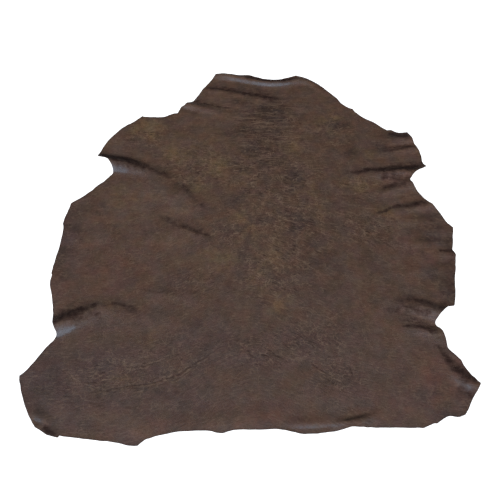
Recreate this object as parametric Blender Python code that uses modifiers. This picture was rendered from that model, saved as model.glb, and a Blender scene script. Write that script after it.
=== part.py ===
"""One whole upholstery cowhide, lying on a floor, grain side up.

The hide is a single sheet of leather, cut along its natural outline. Most of it lies flat. The loose
leather at the armpits, the flanks, the neck and the hind legs stands up in long folds, which start at
the cut edge and fade out towards the back.

Plan sizes are read as on a hide laid out for cutting: "across" is the distance to the right of the
backbone line, and "along" the distance from the tail edge towards the neck. Both are in metres. The
finished sheet is then moved so that the middle of its box is the origin, with its flat underside on z = 0.
"""

import functools
import math
import random
from typing import NamedTuple

import bmesh
import bpy
import numpy as np
from mathutils import Vector
from mathutils.geometry import delaunay_2d_cdt

# The leather
THICKNESS = 0.0015
COLOUR = (0.070, 0.047, 0.034, 1.0)
ROUGHNESS = 0.5

# How finely the sheet is divided: along the cut, along a fold's crest, and over the flat leather
EDGE_STEP = 0.024
CREST_STEP = 0.010
STEPS_TO_A_ROW = 3
FIELD_STEP = 0.074
# Where a row of points crosses a fold, as shares of its slopes
ROW_SHARES = (-1.0, -0.66, -0.33, 0.0, 0.33, 0.66, 1.0)
# The room that a point keeps to the other points and to the cut edge
FOLD_ROOM = 0.008
FIELD_ROOM = 0.046
EDGE_ROOM = 0.012
FIELD_EDGE_ROOM = 0.024
SMALLEST_GAP = 0.0001

# The knife's small wander from a smooth cut
WANDER = 0.0011
SEED = 11

# The cut outline, clockwise from the neck's left corner. Each stretch is one smooth cut that ends in a
# sharp corner, where the next one starts. The columns are (across, along).
OUTLINE = {
    "neck edge": (
        (-0.233, 2.476), (-0.180, 2.478), (-0.135, 2.487), (-0.073, 2.474), (-0.012, 2.486),
        (0.046, 2.464), (0.110, 2.443), (0.180, 2.438), (0.233, 2.450), (0.315, 2.483),
    ),
    "right side of the neck": (
        (0.315, 2.483), (0.373, 2.458), (0.451, 2.402), (0.522, 2.322), (0.579, 2.254),
        (0.601, 2.208), (0.646, 2.165), (0.677, 2.151),
    ),
    "right shoulder": (
        (0.677, 2.151), (0.687, 2.126), (0.733, 2.073), (0.790, 2.034), (0.857, 1.970), (0.876, 1.956),
    ),
    "right shoulder step": (
        (0.876, 1.956), (0.905, 1.956), (0.944, 1.933), (1.002, 1.938),
    ),
    "right foreleg": (
        (1.002, 1.938), (1.014, 1.892), (1.030, 1.832), (1.052, 1.774), (1.060, 1.735), (1.060, 1.676),
        (1.074, 1.638),
    ),
    "right armpit": (
        (1.074, 1.638), (1.035, 1.606), (1.003, 1.582), (0.979, 1.557), (0.962, 1.537), (0.960, 1.519),
        (0.975, 1.492), (0.997, 1.450), (1.034, 1.381), (1.049, 1.354), (1.060, 1.348),
    ),
    "right elbow": (
        (1.060, 1.348), (1.094, 1.300), (1.126, 1.220), (1.142, 1.201), (1.156, 1.181),
    ),
    "right belly": (
        (1.156, 1.181), (1.149, 1.140), (1.132, 1.050), (1.126, 1.020), (1.135, 0.985), (1.122, 0.905),
        (1.103, 0.815), (1.098, 0.770), (1.078, 0.680), (1.073, 0.667),
    ),
    "right flank": (
        (1.073, 0.667), (1.040, 0.661), (1.017, 0.640), (0.972, 0.590), (0.957, 0.570), (0.962, 0.545),
        (0.982, 0.519), (0.990, 0.490), (0.995, 0.458), (0.997, 0.423),
    ),
    "right hind leg": (
        (0.997, 0.423), (1.050, 0.354), (1.058, 0.326), (1.086, 0.272), (1.117, 0.224),
    ),
    "right hind leg end": (
        (1.117, 0.224), (1.095, 0.190), (1.070, 0.156), (1.037, 0.100), (1.020, 0.075),
    ),
    "right hock": (
        (1.020, 0.075), (0.985, 0.063), (0.933, 0.065), (0.877, 0.031), (0.864, 0.031), (0.810, 0.009),
    ),
    "tail edge": (
        (0.810, 0.009), (0.700, 0.011), (0.530, 0.010), (0.474, 0.010), (0.420, -0.003), (0.330, -0.016),
        (0.250, -0.019), (0.190, -0.007), (0.125, 0.003), (0.025, 0.001), (-0.080, -0.001),
        (-0.123, -0.014), (-0.167, -0.011), (-0.200, -0.004), (-0.335, -0.009), (-0.400, -0.022),
        (-0.480, -0.045), (-0.516, -0.074),
    ),
    "left hock": (
        (-0.516, -0.074), (-0.550, -0.075), (-0.640, -0.057), (-0.730, -0.048), (-0.827, -0.035),
        (-0.882, -0.029),
    ),
    "left hock nick": (
        (-0.882, -0.029), (-0.888, -0.039),
    ),
    "left hind leg": (
        (-0.888, -0.039), (-0.940, -0.027), (-0.987, 0.002), (-1.010, 0.018), (-1.037, 0.056),
        (-1.070, 0.113), (-1.098, 0.174), (-1.123, 0.240), (-1.130, 0.273),
    ),
    "left flank": (
        (-1.130, 0.273), (-1.095, 0.310), (-1.027, 0.423), (-0.997, 0.463), (-0.983, 0.492),
        (-0.986, 0.505), (-1.003, 0.535), (-1.021, 0.602), (-1.046, 0.710), (-1.073, 0.795),
        (-1.075, 0.860), (-1.078, 0.900), (-1.059, 1.135), (-1.071, 1.224), (-1.052, 1.325),
        (-1.050, 1.355),
    ),
    "left armpit": (
        (-1.050, 1.355), (-1.033, 1.370), (-0.985, 1.410), (-0.940, 1.457), (-0.905, 1.500),
        (-0.880, 1.523), (-0.843, 1.571), (-0.829, 1.598), (-0.840, 1.632), (-0.858, 1.660),
        (-0.874, 1.680), (-0.892, 1.695), (-0.937, 1.718),
    ),
    "left foreleg": (
        (-0.937, 1.718), (-0.924, 1.788), (-0.902, 1.850), (-0.860, 1.920), (-0.803, 1.992),
        (-0.750, 2.034), (-0.699, 2.087),
    ),
    "left shoulder": (
        (-0.699, 2.087), (-0.690, 2.081), (-0.600, 2.077), (-0.560, 2.080), (-0.526, 2.096),
        (-0.496, 2.111), (-0.473, 2.113),
    ),
    "left side of the neck": (
        (-0.473, 2.113), (-0.451, 2.165), (-0.430, 2.172), (-0.412, 2.190), (-0.378, 2.222),
        (-0.347, 2.280), (-0.307, 2.357), (-0.270, 2.420), (-0.233, 2.476),
    ),
}


class Fold(NamedTuple):
    """A fold's crest, as rows of (across, along, height), and the width of its two slopes.

    The neck slope is on the neck's side of the crest, and the tail slope on the tail's side. A crest
    starts beyond the cut edge where the edge itself stands up.
    """

    crest: tuple
    neck_slope: float
    tail_slope: float


FOLDS = {
    "left armpit": Fold((
        (-0.93, 1.690, 0.034), (-0.86, 1.672, 0.042), (-0.74, 1.642, 0.041), (-0.62, 1.600, 0.026),
        (-0.50, 1.550, 0.010), (-0.41, 1.510, 0.000),
    ), neck_slope=0.078, tail_slope=0.078),
    "left flank": Fold((
        (-1.06, 0.520, 0.036), (-0.97, 0.548, 0.040), (-0.88, 0.600, 0.030), (-0.80, 0.635, 0.016),
        (-0.70, 0.650, 0.007), (-0.58, 0.630, 0.000),
    ), neck_slope=0.085, tail_slope=0.065),
    "right armpit": Fold((
        (1.08, 1.600, 0.040), (0.98, 1.578, 0.040), (0.90, 1.582, 0.038), (0.80, 1.575, 0.024),
        (0.71, 1.577, 0.011), (0.62, 1.585, 0.000),
    ), neck_slope=0.072, tail_slope=0.052),
    "right armpit, second": Fold((
        (1.04, 1.510, 0.018), (0.95, 1.487, 0.021), (0.86, 1.457, 0.017), (0.77, 1.430, 0.007),
        (0.69, 1.415, 0.000),
    ), neck_slope=0.050, tail_slope=0.042),
    "right armpit, third": Fold((
        (1.10, 1.355, 0.017), (1.02, 1.340, 0.018), (0.93, 1.315, 0.015), (0.83, 1.285, 0.009),
        (0.72, 1.260, 0.000),
    ), neck_slope=0.050, tail_slope=0.050),
    "right foreleg, top": Fold((
        (1.06, 1.862, 0.020), (0.98, 1.868, 0.024), (0.90, 1.872, 0.012), (0.82, 1.880, 0.000),
    ), neck_slope=0.072, tail_slope=0.055),
    "right foreleg, middle": Fold((
        (1.08, 1.800, 0.013), (1.00, 1.792, 0.013), (0.90, 1.777, 0.009), (0.80, 1.756, 0.006),
        (0.70, 1.730, 0.000),
    ), neck_slope=0.038, tail_slope=0.042),
    "right elbow": Fold((
        (1.18, 1.150, 0.008), (1.08, 1.152, 0.008), (0.93, 1.150, 0.000),
    ), neck_slope=0.050, tail_slope=0.050),
    "right belly": Fold((
        (1.16, 0.990, 0.015), (1.10, 0.992, 0.012), (1.02, 0.994, 0.000),
    ), neck_slope=0.045, tail_slope=0.040),
    "right flank, upper": Fold((
        (1.04, 0.570, 0.026), (0.975, 0.615, 0.032), (0.90, 0.648, 0.026), (0.80, 0.672, 0.013),
        (0.70, 0.685, 0.000),
    ), neck_slope=0.078, tail_slope=0.052),
    "right flank, lower": Fold((
        (1.00, 0.505, 0.013), (0.93, 0.517, 0.015), (0.85, 0.532, 0.011), (0.77, 0.522, 0.000),
    ), neck_slope=0.026, tail_slope=0.050),
    "right flank, edge": Fold((
        (1.02, 0.455, 0.010), (0.96, 0.468, 0.009), (0.90, 0.480, 0.000),
    ), neck_slope=0.025, tail_slope=0.030),
    "right hind leg": Fold((
        (1.135, 0.182, 0.028), (1.085, 0.212, 0.030), (1.027, 0.264, 0.024), (0.975, 0.330, 0.000),
    ), neck_slope=0.055, tail_slope=0.045),
    "tail edge": Fold((
        (0.38, 0.020, 0.000), (0.43, 0.024, 0.014), (0.49, 0.030, 0.020), (0.55, 0.044, 0.014),
        (0.63, 0.075, 0.000),
    ), neck_slope=0.036, tail_slope=0.034),
    "left hock": Fold((
        (-1.03, 0.000, 0.000), (-0.98, -0.016, 0.013), (-0.92, -0.040, 0.017), (-0.86, -0.060, 0.000),
    ), neck_slope=0.045, tail_slope=0.030),
    "neck edge": Fold((
        (-0.25, 2.462, 0.006), (-0.18, 2.466, 0.014), (-0.08, 2.450, 0.016), (0.00, 2.425, 0.016),
        (0.08, 2.393, 0.016), (0.16, 2.386, 0.016), (0.24, 2.392, 0.016), (0.32, 2.410, 0.012),
        (0.42, 2.420, 0.000),
    ), neck_slope=0.050, tail_slope=0.036),
    "neck": Fold((
        (-0.34, 2.345, 0.006), (-0.22, 2.325, 0.009), (-0.05, 2.283, 0.009), (0.08, 2.250, 0.009),
        (0.17, 2.238, 0.006), (0.26, 2.220, 0.000),
    ), neck_slope=0.032, tail_slope=0.040),
    "left side of the neck": Fold((
        (-0.47, 2.195, 0.016), (-0.38, 2.172, 0.018), (-0.28, 2.142, 0.012), (-0.18, 2.118, 0.006),
        (-0.08, 2.100, 0.000),
    ), neck_slope=0.055, tail_slope=0.042),
    "left shoulder": Fold((
        (-0.43, 1.190, 0.000), (-0.36, 1.160, 0.006), (-0.29, 1.128, 0.006), (-0.22, 1.105, 0.000),
    ), neck_slope=0.025, tail_slope=0.035),
}


def smooth_curve(points, step):
    """Points at most a step apart, on a smooth curve through the given ones."""
    given = [Vector(p) for p in points]
    ends = [2 * given[0] - given[1], *given, 2 * given[-1] - given[-2]]
    curve = []
    for before, start, stop, after in zip(ends, ends[1:], ends[2:], ends[3:]):
        pieces = max(1, math.ceil((stop - start).length / step))
        for piece in range(pieces):
            t = piece / pieces
            pull = (stop - before) * 0.5 * (t - 2 * t**2 + t**3) + (after - start) * 0.5 * (t**3 - t**2)
            curve.append(start * (1 - 3 * t**2 + 2 * t**3) + stop * (3 * t**2 - 2 * t**3) + pull)
    curve.append(given[-1])
    return curve


def cut_edge():
    """The outline as a closed ring of points, clockwise, with the knife's wander."""
    wander = random.Random(SEED)
    ring = []
    for stretch in OUTLINE.values():
        points = smooth_curve(stretch, EDGE_STEP)
        ring.append(points[0])
        for before, point, after in zip(points, points[1:], points[2:]):
            run = (after - before).normalized()
            ring.append(point + Vector((-run.y, run.x)) * wander.uniform(-WANDER, WANDER))
    return ring


@functools.cache
def crest_table(fold):
    """The fold's crest as an array with a row of (across, along, height) for each centimetre."""
    crest = np.array([tuple(p) for p in smooth_curve(fold.crest, CREST_STEP)])
    crest[:, 2] = crest[:, 2].clip(min=0.0)
    return crest


@functools.cache
def neck_side(fold):
    """For each run between two crest points, the level direction that faces the neck."""
    run = np.diff(crest_table(fold)[:, :2], axis=0)
    side = np.stack([-run[:, 1], run[:, 0]], axis=1)
    side /= np.linalg.norm(side, axis=1, keepdims=True)
    return side * np.where(side[:, 1:] < 0, -1.0, 1.0)


def fold_height(fold, across, along):
    """How high one fold lifts the leather at a place in the plan."""
    crest = crest_table(fold)
    start, run = crest[:-1, :2], np.diff(crest[:, :2], axis=0)
    offset = np.array((across, along)) - start
    share = ((offset * run).sum(1) / (run**2).sum(1)).clip(0.0, 1.0)
    apart = offset - run * share[:, None]
    distance = np.linalg.norm(apart, axis=1)
    nearest = int(distance.argmin())
    towards_neck = apart[nearest] @ neck_side(fold)[nearest] > 0
    width = fold.neck_slope if towards_neck else fold.tail_slope
    if distance[nearest] >= width:
        return 0.0
    top = crest[nearest, 2] + share[nearest] * (crest[nearest + 1, 2] - crest[nearest, 2])
    return top * math.cos(math.pi / 2 * distance[nearest] / width) ** 2


def lift(across, along):
    """How high the underside stands off the floor at a place in the plan."""
    return max(fold_height(fold, across, along) for fold in FOLDS.values())


def edge_distance(point, ring):
    """How far a point lies inside the ring, or a negative distance if it lies outside."""
    start = np.array([tuple(p) for p in ring])
    run = np.roll(start, -1, axis=0) - start
    offset = np.array(tuple(point)) - start
    share = ((offset * run).sum(1) / (run**2).sum(1)).clip(0.0, 1.0)
    distance = np.linalg.norm(offset - run * share[:, None], axis=1).min()
    spans = (start[:, 1] > point[1]) != (np.roll(start[:, 1], -1) > point[1])
    rise = np.where(spans, run[:, 1], 1.0)
    crossing = start[:, 0] + run[:, 0] * (point[1] - start[:, 1]) / rise
    inside = np.count_nonzero(spans & (crossing > point[0])) % 2 == 1
    return distance if inside else -distance


def fold_points():
    """Rows of points across each fold, so that its slopes come out even."""
    points = []
    for fold in FOLDS.values():
        crest, side = crest_table(fold), neck_side(fold)
        for at in range(0, len(side), STEPS_TO_A_ROW):
            for share in ROW_SHARES:
                width = fold.neck_slope if share > 0 else fold.tail_slope
                points.append(Vector(crest[at, :2] + side[at] * share * width))
    return points


def field_points(ring):
    """An even triangular pattern of points over the whole plan."""
    low = Vector((min(p.x for p in ring), min(p.y for p in ring)))
    high = Vector((max(p.x for p in ring), max(p.y for p in ring)))
    row_step = FIELD_STEP * math.sqrt(3) / 2
    points = []
    for row in range(math.ceil((high.y - low.y) / row_step)):
        shift = FIELD_STEP / 2 * (row % 2)
        for place in range(math.ceil((high.x - low.x) / FIELD_STEP)):
            points.append(Vector((low.x + shift + place * FIELD_STEP, low.y + row * row_step)))
    return points


def spread_points(ring):
    """All points inside the outline, with none crowded against the edge or another point."""
    kept = [np.array(tuple(ring[0]))]
    wanted = [(point, FOLD_ROOM, EDGE_ROOM) for point in fold_points()]
    wanted += [(point, FIELD_ROOM, FIELD_EDGE_ROOM) for point in field_points(ring)]
    for point, room, edge_room in wanted:
        place = np.array(tuple(point))
        crowded = np.linalg.norm(np.array(kept) - place, axis=1).min() < room
        if not crowded and edge_distance(point, ring) > edge_room:
            kept.append(place)
    return [Vector(place) for place in kept[1:]]


def leather_surface():
    """The grain side as one open surface, lifted where the folds stand."""
    ring = list(reversed(cut_edge()))
    points = ring + spread_points(ring)
    plan, _, triangles, *_ = delaunay_2d_cdt(points, [], [list(range(len(ring)))], 1, SMALLEST_GAP)
    surface = bmesh.new()
    corners = [surface.verts.new((p.x, p.y, THICKNESS + lift(p.x, p.y))) for p in plan]
    for triangle in triangles:
        surface.faces.new([corners[at] for at in triangle])
    bmesh.ops.recalc_face_normals(surface, faces=surface.faces)
    if sum(face.normal.z for face in surface.faces) < 0:
        bmesh.ops.reverse_faces(surface, faces=surface.faces)
    mesh = bpy.data.meshes.new("hide")
    surface.to_mesh(mesh)
    surface.free()
    return mesh


def rest_on_origin(mesh):
    """Moves the sheet so that the middle of its plan is the origin."""
    places = np.array([tuple(v.co) for v in mesh.vertices])
    middle = (places.min(axis=0) + places.max(axis=0)) / 2
    for vertex in mesh.vertices:
        vertex.co.x -= middle[0]
        vertex.co.y -= middle[1]


def leather_material():
    """Dark brown waxed leather."""
    material = bpy.data.materials.new("dark brown leather")
    material.use_nodes = True
    shader = material.node_tree.nodes["Principled BSDF"]
    shader.inputs["Base Color"].default_value = COLOUR
    shader.inputs["Roughness"].default_value = ROUGHNESS
    shader.inputs["Metallic"].default_value = 0.0
    material.diffuse_color = COLOUR
    return material


def make_hide(collection):
    """The leather surface, thickened downwards to a closed sheet."""
    mesh = leather_surface()
    rest_on_origin(mesh)
    mesh.materials.append(leather_material())
    mesh.shade_smooth()
    hide = bpy.data.objects.new("hide", mesh)
    collection.objects.link(hide)
    sheet = hide.modifiers.new("thickness", "SOLIDIFY")
    sheet.thickness = THICKNESS
    sheet.offset = -1.0
    sheet.use_rim = True
    return hide


def main():
    for old in list(bpy.data.objects):
        bpy.data.objects.remove(old, do_unlink=True)
    collection = bpy.data.collections.new("leather hide")
    bpy.context.scene.collection.children.link(collection)
    make_hide(collection)


main()
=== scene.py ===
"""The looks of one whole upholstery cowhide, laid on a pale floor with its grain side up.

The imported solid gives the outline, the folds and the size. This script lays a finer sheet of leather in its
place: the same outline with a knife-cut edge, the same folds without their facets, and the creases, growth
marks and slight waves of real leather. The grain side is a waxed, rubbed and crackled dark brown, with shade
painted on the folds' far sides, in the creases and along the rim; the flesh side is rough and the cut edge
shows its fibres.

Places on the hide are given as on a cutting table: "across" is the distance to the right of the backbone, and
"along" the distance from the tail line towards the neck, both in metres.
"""

import math
from typing import NamedTuple

import bmesh
import bpy
import numpy as np
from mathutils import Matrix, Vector, kdtree, noise
from mathutils.bvhtree import BVHTree
from mathutils.geometry import delaunay_2d_cdt


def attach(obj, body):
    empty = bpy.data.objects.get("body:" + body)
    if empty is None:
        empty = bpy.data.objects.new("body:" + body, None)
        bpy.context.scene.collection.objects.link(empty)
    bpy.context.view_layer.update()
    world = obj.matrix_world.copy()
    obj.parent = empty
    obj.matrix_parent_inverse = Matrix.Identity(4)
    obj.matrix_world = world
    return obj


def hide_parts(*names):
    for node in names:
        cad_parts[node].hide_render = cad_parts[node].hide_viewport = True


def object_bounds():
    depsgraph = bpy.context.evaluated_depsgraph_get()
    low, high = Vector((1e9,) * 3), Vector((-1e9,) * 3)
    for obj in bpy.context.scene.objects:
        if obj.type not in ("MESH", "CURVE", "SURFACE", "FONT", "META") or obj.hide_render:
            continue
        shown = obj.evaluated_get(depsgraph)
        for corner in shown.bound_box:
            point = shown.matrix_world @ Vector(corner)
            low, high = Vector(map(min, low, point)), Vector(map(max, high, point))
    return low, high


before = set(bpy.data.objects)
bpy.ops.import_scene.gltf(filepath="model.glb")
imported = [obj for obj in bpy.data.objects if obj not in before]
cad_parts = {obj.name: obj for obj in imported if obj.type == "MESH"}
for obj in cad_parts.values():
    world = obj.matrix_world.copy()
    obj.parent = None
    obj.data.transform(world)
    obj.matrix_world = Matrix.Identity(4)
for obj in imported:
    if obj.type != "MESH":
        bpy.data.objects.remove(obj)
SOLID_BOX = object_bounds()

# The leather as it was cut
THICKNESS = 0.0015

# The cutting table's lines, from the left and the lowest point of the outline
BACKBONE_FROM_LEFT = 1.130
TAIL_LINE_FROM_LOWEST = 0.0756

# How far apart the sheet's points are, on the grain side and on the flesh side
EDGE_STEP = 0.007
FIELD_STEP = 0.0125
FOLD_STEP = 0.0078
CREASE_STEP = 0.0042
FLESH_FIELD_STEP = 0.030
FLESH_FOLD_STEP = 0.0095
# The hide is looked over at this step, to find its folds
SURVEY_STEP = 0.006
# The crease's step is used this far from a crease, and the fold's step this far from the cut edge
CREASE_ZONE = 0.012
RIM_ZONE = 0.008
# A point keeps this share of its step to the cut edge, and at least this share of the edge's own step
EDGE_ROOM = 0.6
LEAST_EDGE_ROOM = 0.5
# Leather this much higher than its thickness counts as lifted, and this far around it as its foot
LIFTED = 0.0004
FOOT = 0.012
# A swell counts as a fold where it is this high. One whose tail side is narrower than this counts as one
# this far from its crest
HIGH_SWELL = 0.003
STEEP_SIDE = 0.056
# The solid's corners are joined, and the plan's points are one, where they are this close
WELD = 1e-5
SMALLEST_GAP = 1e-5
# No crease makes the leather thinner than this
THINNEST = 0.0007
# How often each point's height is drawn towards its neighbours', to round off the solid's facets
SMOOTHING_ROUNDS = 12
# Heights are looked up from above, straight down
LOOK_FROM = 1.0
DOWN = Vector((0.0, 0.0, -1.0))

# The cut edge: a corner is a turn sharper than this, and the knife wanders a little between corners
CORNER = math.radians(32)
KNIFE_WANDER = 0.0005
KNIFE_WAVES_PER_METRE = 55
KNIFE_SEED = (0.5, 0.5)
# The cut edge stands off the floor a little, here and there
EDGE_LIFT = 0.0030
EDGE_LIFT_WIDTH = 0.035
EDGE_WAVES_PER_METRE = 7
EDGE_LIFT_SEED = (0.3, 2.7)
# The rim is darkened with painted shade, more in some places than in others
RIM_SHADE = 0.35
RIM_SHADE_SWING = 1.5
RIM_SHADE_WIDTH = 0.007
RIM_SHADE_WAVES_PER_METRE = 9
RIM_SHADE_SEED = (1.7, 0.4)
# Painted shade darkens the folds' far sides: the slopes that face the neck, away from the lights, and are
# steeper than this
SHADE_FROM = 0.16
SHADE_FULL = 0.50
STEEP_SHADE = 0.45
# Creases and bands waver by this much, in long waves and in short ones
WAVER = 0.020
WAVER_PER_METRE = 9
SHORT_WAVER = 0.007
SHORT_WAVER_PER_METRE = 40
# Without a seed, this noise would start from the clock and differ from run to run
WAVER_SEED = 146
# A crease across, in its own widths: how much of it turns up into lips, how fast it fades out, where its lips
# are rubbed and how widely, and how far it reaches
LIP_SHARE = 0.6
CREASE_FADE = 1.5
RUBBED_AT = 1.5
RUBBED_FADE = 0.5
CREASE_REACH = 4
# A band reaches this many of its widths
BAND_REACH = 3
# Creases and bands fade out over this share of their length at each end, along this power of it
CREASE_ENDS = 0.25
BAND_ENDS = 0.12
END_POWER = 0.7

# The growth lines fall outwards this steeply behind the shoulders, and level out over this reach. On the neck
# they run level: it begins this far along, and the fall comes in over this length below it
OUTWARD_FALL = 0.65
FALL_REACH = 0.42
NECK_START = 1.7
NECK_BLEND = 0.7
# They are rounded over the backbone, and drawn up where a fold is lifted
BACK_ROUNDING = 0.15
FOLD_DRAW = 2.0


class Swell(NamedTuple):
    """A broad low wave: its crest as rows of (across, along, height), and how wide its two sides are."""

    crest: tuple
    neck_side: float
    tail_side: float


SWELLS = {
    "from the left armpit to the back": Swell((
        (-0.84, 1.600, 0.000), (-0.66, 1.530, 0.008), (-0.52, 1.465, 0.014), (-0.38, 1.395, 0.012),
        (-0.25, 1.340, 0.005), (-0.12, 1.290, 0.000),
    ), neck_side=0.100, tail_side=0.140),
    "left armpit": Swell((
        (-0.92, 1.668, 0.005), (-0.84, 1.652, 0.010), (-0.79, 1.636, 0.011), (-0.725, 1.612, 0.009),
        (-0.66, 1.584, 0.006), (-0.60, 1.560, 0.000),
    ), neck_side=0.045, tail_side=0.055),
    "right armpit, under": Swell((
        (0.78, 1.512, 0.000), (0.88, 1.520, 0.008), (0.95, 1.518, 0.010), (1.03, 1.505, 0.008),
    ), neck_side=0.038, tail_side=0.035),
    "neck edge": Swell((
        (-0.26, 2.482, 0.012), (-0.16, 2.467, 0.014), (-0.06, 2.438, 0.012), (0.06, 2.400, 0.013),
        (0.15, 2.390, 0.013), (0.25, 2.400, 0.013), (0.33, 2.434, 0.014), (0.40, 2.396, 0.013),
        (0.46, 2.345, 0.009), (0.53, 2.290, 0.000),
    ), neck_side=0.028, tail_side=0.032),
    "neck edge, right corner": Swell((
        (0.28, 2.414, 0.009), (0.36, 2.418, 0.015), (0.43, 2.385, 0.015), (0.50, 2.330, 0.000),
    ), neck_side=0.030, tail_side=0.040),
    "neck edge, left": Swell((
        (-0.27, 2.474, 0.011), (-0.18, 2.462, 0.014), (-0.08, 2.438, 0.013), (0.02, 2.412, 0.012),
    ), neck_side=0.028, tail_side=0.038),
    "left side of the neck, edge": Swell((
        (-0.48, 2.190, 0.006), (-0.40, 2.172, 0.008), (-0.30, 2.145, 0.004), (-0.20, 2.120, 0.000),
    ), neck_side=0.040, tail_side=0.038),
    "right belly, near the elbow": Swell((
        (0.66, 1.230, 0.000), (0.80, 1.215, 0.005), (0.95, 1.230, 0.006), (1.10, 1.235, 0.004),
    ), neck_side=0.060, tail_side=0.050),
    "right belly, lower": Swell((
        (0.74, 1.060, 0.000), (0.88, 1.070, 0.004), (1.02, 1.075, 0.006), (1.14, 1.070, 0.004),
    ), neck_side=0.045, tail_side=0.050),
    "right side": Swell((
        (0.80, 0.880, 0.000), (0.92, 0.890, 0.004), (1.04, 0.900, 0.006), (1.12, 0.905, 0.004),
    ), neck_side=0.050, tail_side=0.060),
    "left belly": Swell((
        (-1.08, 1.150, 0.006), (-0.95, 1.130, 0.006), (-0.80, 1.120, 0.003), (-0.66, 1.110, 0.000),
    ), neck_side=0.080, tail_side=0.100),
    "below the left shoulder crease": Swell((
        (-0.56, 1.190, 0.000), (-0.42, 1.150, 0.004), (-0.30, 1.100, 0.004), (-0.18, 1.060, 0.000),
    ), neck_side=0.060, tail_side=0.100),
    "left flank": Swell((
        (-0.84, 0.600, 0.000), (-0.62, 0.590, 0.004), (-0.40, 0.560, 0.003), (-0.20, 0.540, 0.000),
    ), neck_side=0.090, tail_side=0.120),
    "left thigh": Swell((
        (-0.56, 0.790, 0.000), (-0.45, 0.750, 0.003), (-0.34, 0.730, 0.003), (-0.24, 0.720, 0.000),
    ), neck_side=0.045, tail_side=0.070),
    "tail edge, middle": Swell((
        (-0.45, 0.040, 0.000), (-0.20, 0.035, 0.003), (0.05, 0.050, 0.004), (0.25, 0.040, 0.000),
    ), neck_side=0.090, tail_side=0.060),
    "tail edge, right": Swell((
        (0.12, 0.036, 0.000), (0.20, 0.030, 0.005), (0.28, 0.030, 0.007), (0.36, 0.036, 0.005),
        (0.46, 0.042, 0.003), (0.56, 0.062, 0.002), (0.64, 0.090, 0.000),
    ), neck_side=0.052, tail_side=0.030),
    "left hock": Swell((
        (-1.06, 0.095, 0.000), (-1.02, 0.078, 0.006), (-0.99, 0.058, 0.008), (-0.96, 0.034, 0.005),
        (-0.93, 0.010, 0.000),
    ), neck_side=0.050, tail_side=0.028),
    "left hind leg": Swell((
        (-1.08, 0.350, 0.000), (-0.99, 0.260, 0.004), (-0.93, 0.170, 0.004), (-0.88, 0.060, 0.000),
    ), neck_side=0.080, tail_side=0.090),
}


class Crease(NamedTuple):
    """A soft trough: its line as rows of (across, along), its depth and width, how dark its bottom is painted
    with shade, and how far its lips are rubbed to a lighter brown."""

    line: tuple
    depth: float
    width: float
    dark: float
    rubbed: float = 0.0


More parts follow.
